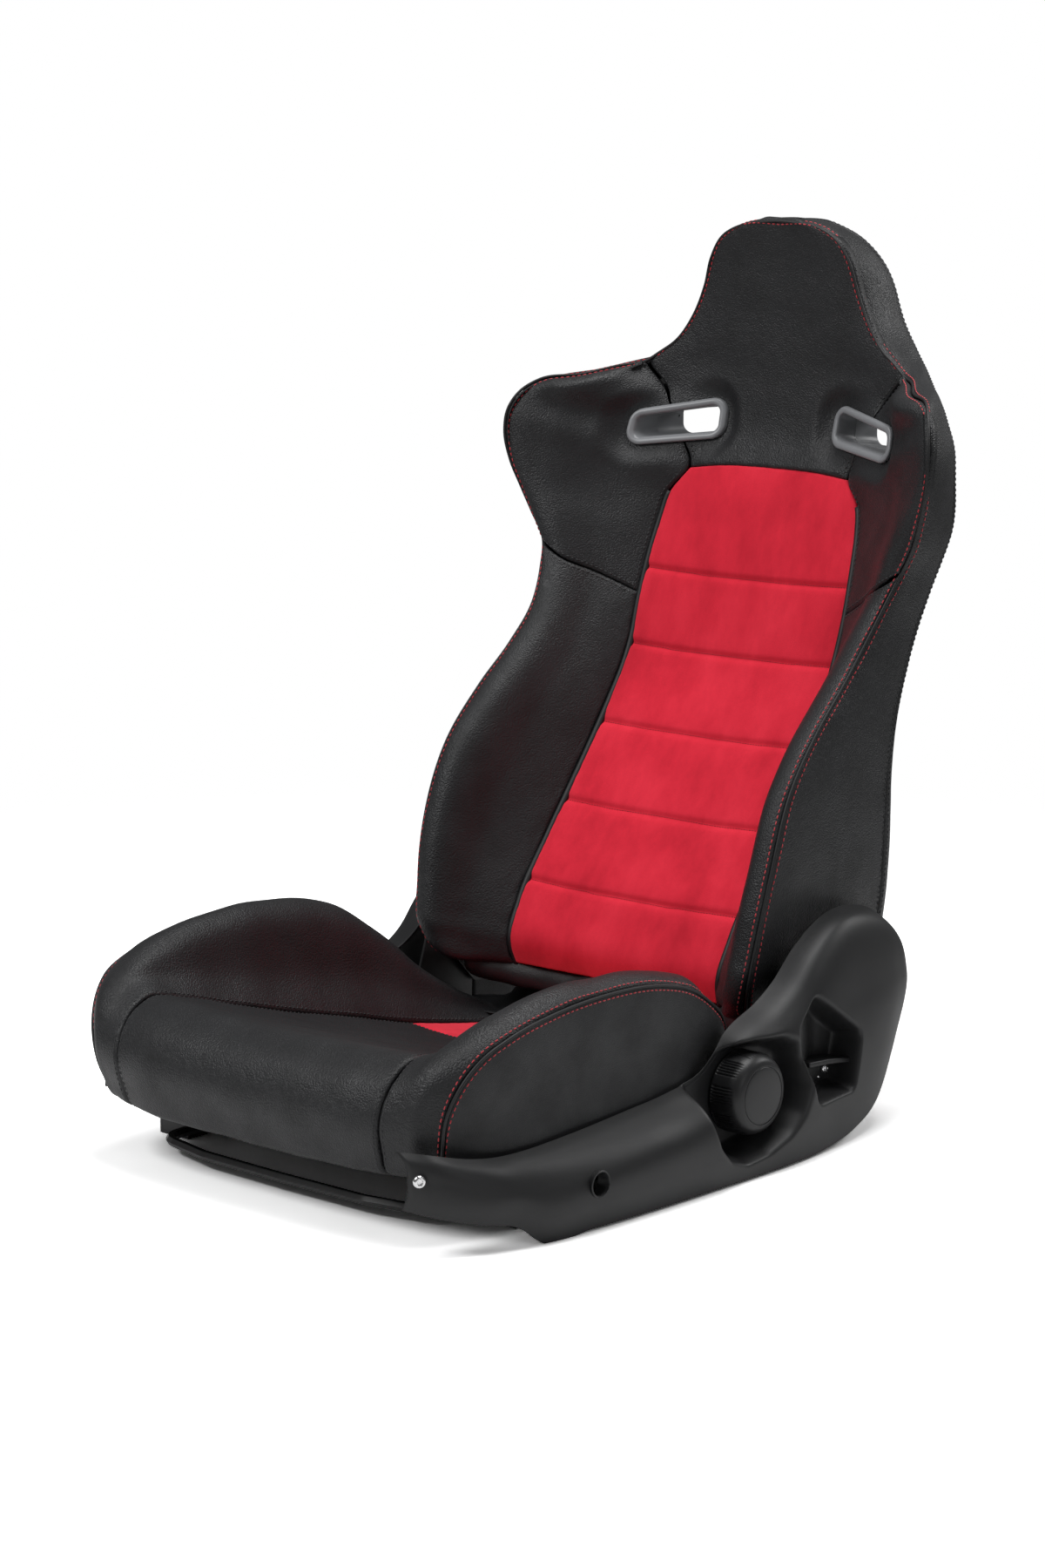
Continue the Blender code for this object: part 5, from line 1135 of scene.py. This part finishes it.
def make_shield(side, label):
    """Moulded cover; the left one has the dial's bowl and the lever's pocket."""
    grid = shield_grid(SHIELD if side > 0 else SHIELD_NOSE + SHIELD[6:9] + SHIELD_LOW,
                       side, side > 0)
    panel = Panel.of_grid(grid, (side, 0, 0))
    if side > 0:
        y, z = grid[..., 1], grid[..., 2]
        bowl = rounded_loop(np.array(RECESS) + (SHIFT, 0), 0.016)
        depth = inside_depth(bowl, y, z)
        lean = np.clip((y - KNOB[0] + 0.09) / 0.18, 0, 1)
        floor = 0.2622 + 0.004 * lean
        wall = 0.013 + 0.010 * np.clip((y - KNOB[0]) / 0.06, 0, 1)
        panel.points[..., 0] += blur((floor - grid[..., 0]) * ease((depth + 0.0035) / wall), 9)
        pocket = rounded_loop(np.array(POCKET) + (SHIFT, 0), 0.009)
        depth = inside_depth(pocket, y, z)
        slope = np.clip((y - 0.040) / 0.062, 0, 1)
        low = np.clip((0.090 - (y - 0.07) * 0.14 - z) / 0.005, 0, 1)
        floor = 0.2870 - 0.0240 * np.maximum(slope * slope * (3 - 2 * slope), low)
        panel.points[..., 0] += blur((floor - panel.points[..., 0])
                                     * ease((depth + 0.0025) / 0.0080), 2)
    obj = panel.solid("shield_shell_" + label, 0.0026 if side < 0 else 0.0010, PLASTIC,
                      "seat_base", ["side_shield_" + label])
    hole_y, hole_z = ACCESS_HOLES[side][0] + SHIFT, ACCESS_HOLES[side][1]
    bm = bmesh.new()
    bmesh.ops.create_cone(bm, cap_ends=True, segments=56, radius1=0.0112, radius2=0.0112,
                          depth=0.05, matrix=Matrix.Translation(
                              (side * 0.300, hole_y, hole_z))
                          @ Matrix.Rotation(math.radians(90), 4, "Y"))
    cut(obj, mesh_from("hole", bm))
    turned("shield_hole_sleeve_" + label,
           [(0.0128, 0.0004), (0.0131, 0.0010), (0.0124, 0.0016), (0.0115, 0.0014),
            (0.0109, 0.0004), (0.0107, -0.0120), (0.0117, -0.0120), (0.0118, -0.0010)],
           (surface_x(panel, hole_y, hole_z), hole_y, hole_z),
           (side, 0, 0), PLASTIC, "seat_base", closed=True)
    return panel


def surface_x(panel, y, z):
    """Where the skin lies in X at (y, z)."""
    d = np.hypot(panel.points[..., 1] - y, panel.points[..., 2] - z)
    return float(panel.points[..., 0].flat[int(np.argmin(d))])


def turned(name, profile, place, axis, look, body, steps=56, closed=False, shape=None,
           nodes=()):
    """Turned piece: profile of (radius, height) about an axis; shape may bend the radius."""
    axis = Vector(axis).normalized()
    turn = axis.to_track_quat("Z", "Y").to_matrix()
    place = Vector(place)
    verts = []
    for index, (radius, height) in enumerate(profile):
        for k in range(steps):
            angle = 2 * math.pi * k / steps
            r = shape(index, angle, radius) if shape else radius
            verts.append(place + turn @ Vector((r * math.cos(angle), r * math.sin(angle), height)))
    obj = make_object(name, verts, ring_faces(len(profile), steps, closed), look, body)
    obj.data.set_sharp_from_angle(angle=math.radians(38))
    if nodes:
        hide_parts(*nodes)
    return obj


def hexagon(first, last):
    """Radius of a hexagon socket for the profile points first..last."""
    def shape(index, angle, radius):
        if not first <= index <= last:
            return radius
        local = (angle + math.pi / 6) % (math.pi / 3) - math.pi / 6
        return radius / math.cos(local) if radius > 0.0005 else radius
    return shape


def make_screw(name, place, heading, radius, height, node_name, body, socket):
    profile = [(radius * 0.55, -0.0100), (radius * 0.55, 0.0), (radius * 0.94, 0.0),
               (radius, 0.0003), (radius, height * 0.22), (radius * 0.95, height * 0.55),
               (radius * 0.82, height * 0.86), (radius * 0.68, height),
               (socket * 1.22, height), (socket * 1.06, height - 0.00025),
               (socket, height - 0.0006), (socket, height - 0.0022), (0.0004, height - 0.0024)]
    turned(name, profile, place, heading, BRIGHT, body,
           48, shape=hexagon(9, 11), nodes=[node_name])


def make_dial():
    """Grip: groups of fine ribs between flats, a wide shoulder and a domed face with one ring."""
    profile = []
    for x, r in ((0.2650, 0.0360), (0.2650, 0.0396), (0.2656, 0.0404), (0.2670, 0.0408)):
        profile.append((x, r, 0.0))
    for t in np.linspace(0, 1, 12):
        profile.append((0.2680 + 0.0150 * t, 0.0408 - 0.0005 * t, 1.0))
    for angle in np.linspace(4, 84, 18):
        a = math.radians(angle)
        profile.append((0.2832 + 0.0158 * math.sin(a), 0.0298 + 0.0105 * math.cos(a),
                        max(0.0, 1 - angle / 34.0)))
    for r, x in ((0.0300, 0.29935), (0.0293, 0.29950), (0.0290, 0.29945), (0.0287, 0.29885),
                 (0.0282, 0.29885), (0.0279, 0.29950), (0.0272, 0.29970), (0.0240, 0.30010),
                 (0.0200, 0.30045), (0.0150, 0.30075), (0.0090, 0.30093), (0.0040, 0.30100)):
        profile.append((x, r, 0.0))
    steps, groups, ribs = 720, 9, 6
    angle = np.arange(steps) * 2 * math.pi / steps
    part = (angle * groups / (2 * math.pi)) % 1.0
    wave = np.where(part < 0.66, 0.5 - 0.5 * np.cos(part / 0.66 * ribs * 2 * math.pi), 0.0)
    verts = []
    for x, r, depth in profile:
        radius = r - 0.00135 * depth * wave
        for a, q in zip(angle, radius):
            verts.append((x, KNOB[0] + q * math.cos(a), KNOB[1] + q * math.sin(a)))
    faces = ring_faces(len(profile), steps)
    obj = make_object("dial_grip", verts, faces, DIAL, "recline_dial")
    obj.data.set_sharp_from_angle(angle=math.radians(50))
    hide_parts("recline_knob")


def bevelled_prism(bm, outline, low, high, bevel, segments=3):
    """Adds a prism along X with softened edges to a bmesh."""
    fresh = bmesh.new()
    rings = [[fresh.verts.new((x, y, z)) for y, z in outline] for x in (low, high)]
    count = len(outline)
    for k in range(count):
        nxt = (k + 1) % count
        fresh.faces.new((rings[0][k], rings[0][nxt], rings[1][nxt], rings[1][k]))
    fresh.faces.new(rings[0])
    fresh.faces.new(rings[1])
    bmesh.ops.recalc_face_normals(fresh, faces=fresh.faces)
    sharp = [e for e in fresh.edges if e.calc_face_angle(0) > math.radians(40)]
    bmesh.ops.bevel(fresh, geom=sharp, offset=bevel, segments=segments, affect="EDGES", profile=0.5)
    part = mesh_from("part", fresh)
    bm.from_mesh(part)
    bpy.data.meshes.remove(part)


def make_lever():
    """Blade with a rounded lip, and its pin."""
    bm = bmesh.new()
    blade = rounded_loop(np.array([(0.058, 0.0855), (0.060, 0.0615), (0.098, 0.0575),
                                   (0.138, 0.0620), (0.150, 0.0785), (0.100, 0.0840)])
                         + (SHIFT, 0), 0.004, 4)
    bevelled_prism(bm, blade, 0.2622, 0.2655, 0.0008, 2)
    lip = rounded_loop(np.array([(0.055, 0.0856), (0.085, 0.0838), (0.151, 0.0758),
                                 (0.1525, 0.0800), (0.085, 0.0893), (0.055, 0.0912)])
                       + (SHIFT, 0), 0.0020, 3)
    bevelled_prism(bm, lip, 0.2622, 0.2865, 0.0016, 3)
    mesh = mesh_from("fold_lever_handle", bm)
    obj = finish_object("fold_lever_handle", mesh, PLASTIC, "fold_lever")
    mesh.set_sharp_from_angle(angle=math.radians(40))
    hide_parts("fold_release_lever")
    turned("fold_lever_pin",
           [(0.0016, -0.001), (0.0016, 0.0006), (0.0010, 0.0012), (0.0002, 0.0014)],
           (0.2654, 0.0960 + SHIFT, 0.0655), (1, 0, 0), BRIGHT, "fold_lever", 24)


def make_trim(name, side, profile, node_name):
    """Sweeps a closed profile of (outset, depth) through a harness slot.

    The front outline is tapered and leans back; it turns into the plain oval at the back.
    """
    verts = []
    steps = 10
    for out, y in profile:
        front = trim_loop(out)
        back = []
        for cx, cz, start in ((1, 1, 0), (-1, 1, 90), (-1, -1, 180), (1, -1, 270)):
            for k in range(steps + 1):
                a = math.radians(start + 90 * k / steps)
                r = max(0.011 + out, 0.0005)
                back.append((SLOT_X + cx * 0.024 + r * math.cos(a),
                             SLOT_Z + cz * 0.005 + r * math.sin(a)))
        deep = min(max((y - 0.344) / 0.046, 0.0), 1.0)
        for (fx, fz), (bx, bz) in zip(front, back):
            x, z = fx + (bx - fx) * deep, fz + (bz - fz) * deep
            verts.append((side * x, plane_y(side * x, z, side, y, TRIM_LEAN * (1 - deep)), z))
    faces = ring_faces(len(profile), 4 * (steps + 1), closed=True)
    obj = make_object(name, verts, faces, TRIM, "backrest")
    obj.data.set_sharp_from_angle(angle=math.radians(44))
    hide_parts(node_name)


BEZEL = [(0.0081, 0.3400), (0.0083, 0.3384), (0.0082, 0.3366), (0.0078, 0.3354), (0.0071, 0.3346),
         (0.0061, 0.3341), (0.0044, 0.3340), (0.0028, 0.3343), (0.0016, 0.3350), (0.0008, 0.3362),
         (0.0003, 0.3380), (0.0000, 0.3410), (0.0000, 0.3640), (-0.0004, 0.3643),
         (-0.0004, 0.3651), (0.0000, 0.3655), (-0.0003, 0.3985), (0.0024, 0.3985),
         (0.0030, 0.3600), (0.0040, 0.3420), (0.0060, 0.3400)]
REAR_RING = [(0.0024, 0.3930), (0.0024, 0.3992), (0.0030, 0.4000), (0.0060, 0.4006),
             (0.0095, 0.4004), (0.0110, 0.3996), (0.0116, 0.3985), (0.0115, 0.3940)]


def make_hardware():
    for side, label in ((1, "left"), (-1, "right")):
        make_shield(side, label)
        make_trim("harness_trim_" + label, side, BEZEL, "slot_bezel_" + label)
        make_trim("harness_trim_rear_" + label, side, REAR_RING, "slot_rear_ring_" + label)
    make_dial()
    make_lever()
    for label, (seat, heading) in SHIELD_SCREWS.items():
        heading = Vector(heading).normalized()
        place = Vector(seat) + Vector((0, SHIFT, 0)) + heading * 0.0044
        make_screw("shield_fixing_" + label, place, heading, 0.0062, 0.0036,
                   "shield_screw_" + label, "seat_base", 0.0024)
    make_screw("lever_fixing", Vector((0.2656, 0.104 + SHIFT, 0.073)), Vector((1, 0, 0)),
               0.0055, 0.0034, "lever_screw", "seat_base", 0.0023)


# Rows of the cloth under the backrest: y and z at its ends, then in the middle.
SKIRT = [(0.066, 0.127, 0.096, 0.1215), (0.062, 0.113, 0.089, 0.108),
         (0.075, 0.0995, 0.093, 0.0975), (0.105, 0.0905, 0.105, 0.0905),
         (0.140, 0.0985, 0.140, 0.0985)]


def make_cloths():
    """Black cloth behind the cushion, under the backrest and inside each shield."""
    rows = []
    for degrees in (-112, -100, -88, -77, -68, -57, -46, -38):
        a = math.radians(degrees)
        r = 0.0880 if degrees > -105 else 0.0900
        half = 0.226 if -90 < degrees < -70 else 0.193 if -70 < degrees < -50 else 0.184
        y, z = HINGE[0] + r * math.cos(a), HINGE[1] + r * math.sin(a)
        rows.append([(x * half, y, z) for x in (-1.0, -0.5, 0.0, 0.5, 1.0)])
    flap = Panel(moved(rows), 0.006, "", (0, -0.5, 1), relax=0)
    flap.push(0.0006 * waves(flap.base, 0.06, 141))
    flap.solid("cushion_rear_flap", 0.0014, HIDE_SMOOTH, "seat_base")
    rows = []
    for side_y, side_z, mid_y, mid_z in SKIRT:
        rows.append([(-0.187, side_y, side_z), (-0.145, mid_y - 0.003, mid_z), (0, mid_y, mid_z),
                     (0.145, mid_y - 0.003, mid_z), (0.187, side_y, side_z)])
    skirt = Panel(moved(rows), 0.005, "", (0, -1, -0.5), relax=1)
    skirt.push(0.0013 * waves(skirt.base, 0.045, 151))
    skirt.solid("back_lower_skirt", 0.0014, HIDE_SMOOTH, "backrest")
    for label, side in (("left", 1), ("right", -1)):
        hem = ((0.130, 0.036), (0.155, 0.037), (0.175, 0.041), (0.190, 0.049), (0.207, 0.062))
        rows = [[(side * x, y, 0.108 + (low - 0.108) * share) for y, low in hem]
                for x, share in ((0.2405, 0.0), (0.2395, 0.35), (0.2390, 0.7), (0.2385, 1.0))]
        drape = Panel(moved(rows), 0.006, "", (side, 0, 0), relax=0)
        drape.solid("shield_inner_cloth_" + label, 0.0012, HIDE_SMOOTH, "seat_base")


make_hardware()
make_cloths()


# --------------------------------------------------------------------- camera and studio
def mixed(tree, share, first, second):
    item = tree.nodes.new("ShaderNodeMixShader")
    for output, socket in ((share, "Fac"), (first, 1), (second, 2)):
        tree.links.new(output, item.inputs[socket])
    return item.outputs[0]


def make_camera():
    """The camera of the photograph, solved from the seat's symmetry."""
    data = bpy.data.cameras.new("photo_camera")
    camera = bpy.data.objects.new("photo_camera", data)
    bpy.context.scene.collection.objects.link(camera)
    right = Vector((0.738577, 0.674170, 0.0000200))
    down = Vector((0.120805, -0.132317, -0.983818))
    ahead = Vector((-0.663258, 0.726627, -0.179169))
    camera.matrix_world = Matrix.Translation((2.42924, -2.70306, 1.00514)) @ Matrix(
        (right, -down, -ahead)).transposed().to_4x4()
    data.sensor_fit, data.sensor_width, data.lens = "HORIZONTAL", 36.0, 126.0
    data.clip_start, data.clip_end = 0.1, 60.0
    bpy.context.scene.camera = camera


def make_world():
    """Dim light from all around, and plain white where the camera sees past the floor."""
    world = bpy.data.worlds.new("studio")
    bpy.context.scene.world = world
    world.use_nodes = True
    tree = world.node_tree
    background = tree.nodes["Background"]
    background.inputs["Color"].default_value = (1.0, 1.0, 1.0, 1.0)
    background.inputs["Strength"].default_value = 0.15
    white = node(tree, "ShaderNodeBackground", Color=(1.0, 1.0, 1.0, 1.0), Strength=1.0)
    path = tree.nodes.new("ShaderNodeLightPath")
    either = tree.nodes.new("ShaderNodeMath")
    either.operation = "MAXIMUM"
    tree.links.new(path.outputs["Is Camera Ray"], either.inputs[0])
    tree.links.new(path.outputs["Is Transmission Ray"], either.inputs[1])
    surface = mixed(tree, either.outputs[0], background.outputs[0], white.outputs[0])
    tree.links.new(surface, tree.nodes["World Output"].inputs["Surface"])


def make_floor():
    """White paper that keeps the seat's shadow and fades out into the background."""
    bm = bmesh.new()
    bmesh.ops.create_circle(bm, cap_ends=True, segments=96, radius=2.6)
    mesh = mesh_from("studio_floor", bm)
    mat, tree, shader = blank("paper_floor", (0.93, 0.93, 0.93), 0.9, Specular_IOR_Level=0.1)
    seen = node(tree, "ShaderNodeBsdfDiffuse", Color=(1.85, 1.85, 1.85, 1.0))
    path = tree.nodes.new("ShaderNodeLightPath")
    paper = mixed(tree, path.outputs["Is Camera Ray"], shader.outputs[0], seen.outputs[0])
    length = tree.nodes.new("ShaderNodeVectorMath")
    length.operation = "LENGTH"
    tree.links.new(place_output(tree), length.inputs[0])
    fade = node(tree, "ShaderNodeMapRange", From_Min=0.75, From_Max=1.9)
    fade.interpolation_type = "SMOOTHSTEP"
    tree.links.new(length.outputs["Value"], fade.inputs["Value"])
    clear = tree.nodes.new("ShaderNodeBsdfTransparent")
    surface = mixed(tree, fade.outputs["Result"], paper, clear.outputs[0])
    tree.links.new(surface, tree.nodes["Material Output"].inputs["Surface"])
    floor = bpy.data.objects.new("studio_floor", mesh)
    bpy.context.scene.collection.objects.link(floor)
    floor.location.z = -0.0006
    mesh.materials.append(mat)


def make_lights():
    """Four soft boxes that all face the middle of the seat."""
    for name, place, size, energy in (
            ("key_light", (-0.9, -2.4, 2.6), 1.3, 58.0), ("fill_light", (2.9, -0.7, 1.5), 1.2, 7.0),
            ("top_light", (0.2, 0.3, 3.1), 1.6, 58.0), ("rim_light", (1.2, 2.4, 1.9), 1.0, 24.0)):
        lamp = bpy.data.lights.new(name, "AREA")
        lamp.size, lamp.energy = size, energy
        obj = bpy.data.objects.new(name, lamp)
        bpy.context.scene.collection.objects.link(obj)
        obj.location = place
        aim = Vector((0.0, 0.0, 0.42)) - Vector(place)
        obj.rotation_euler = aim.to_track_quat("-Z", "Y").to_euler()


def surface_nodes():
    """Better finishes for the CAD nodes that stay as they are."""
    slots = {s["node"]: s["material_slot"] for s in frame["record"]["subparts"]}
    for name, obj in NODES.items():
        if obj.hide_render:
            continue
        for item in obj.material_slots:
            item.material = SLOT_LOOKS[slots[name]]


surface_nodes()
make_camera()
make_world()
make_floor()
make_lights()
bpy.context.scene.view_settings.view_transform = "Standard"
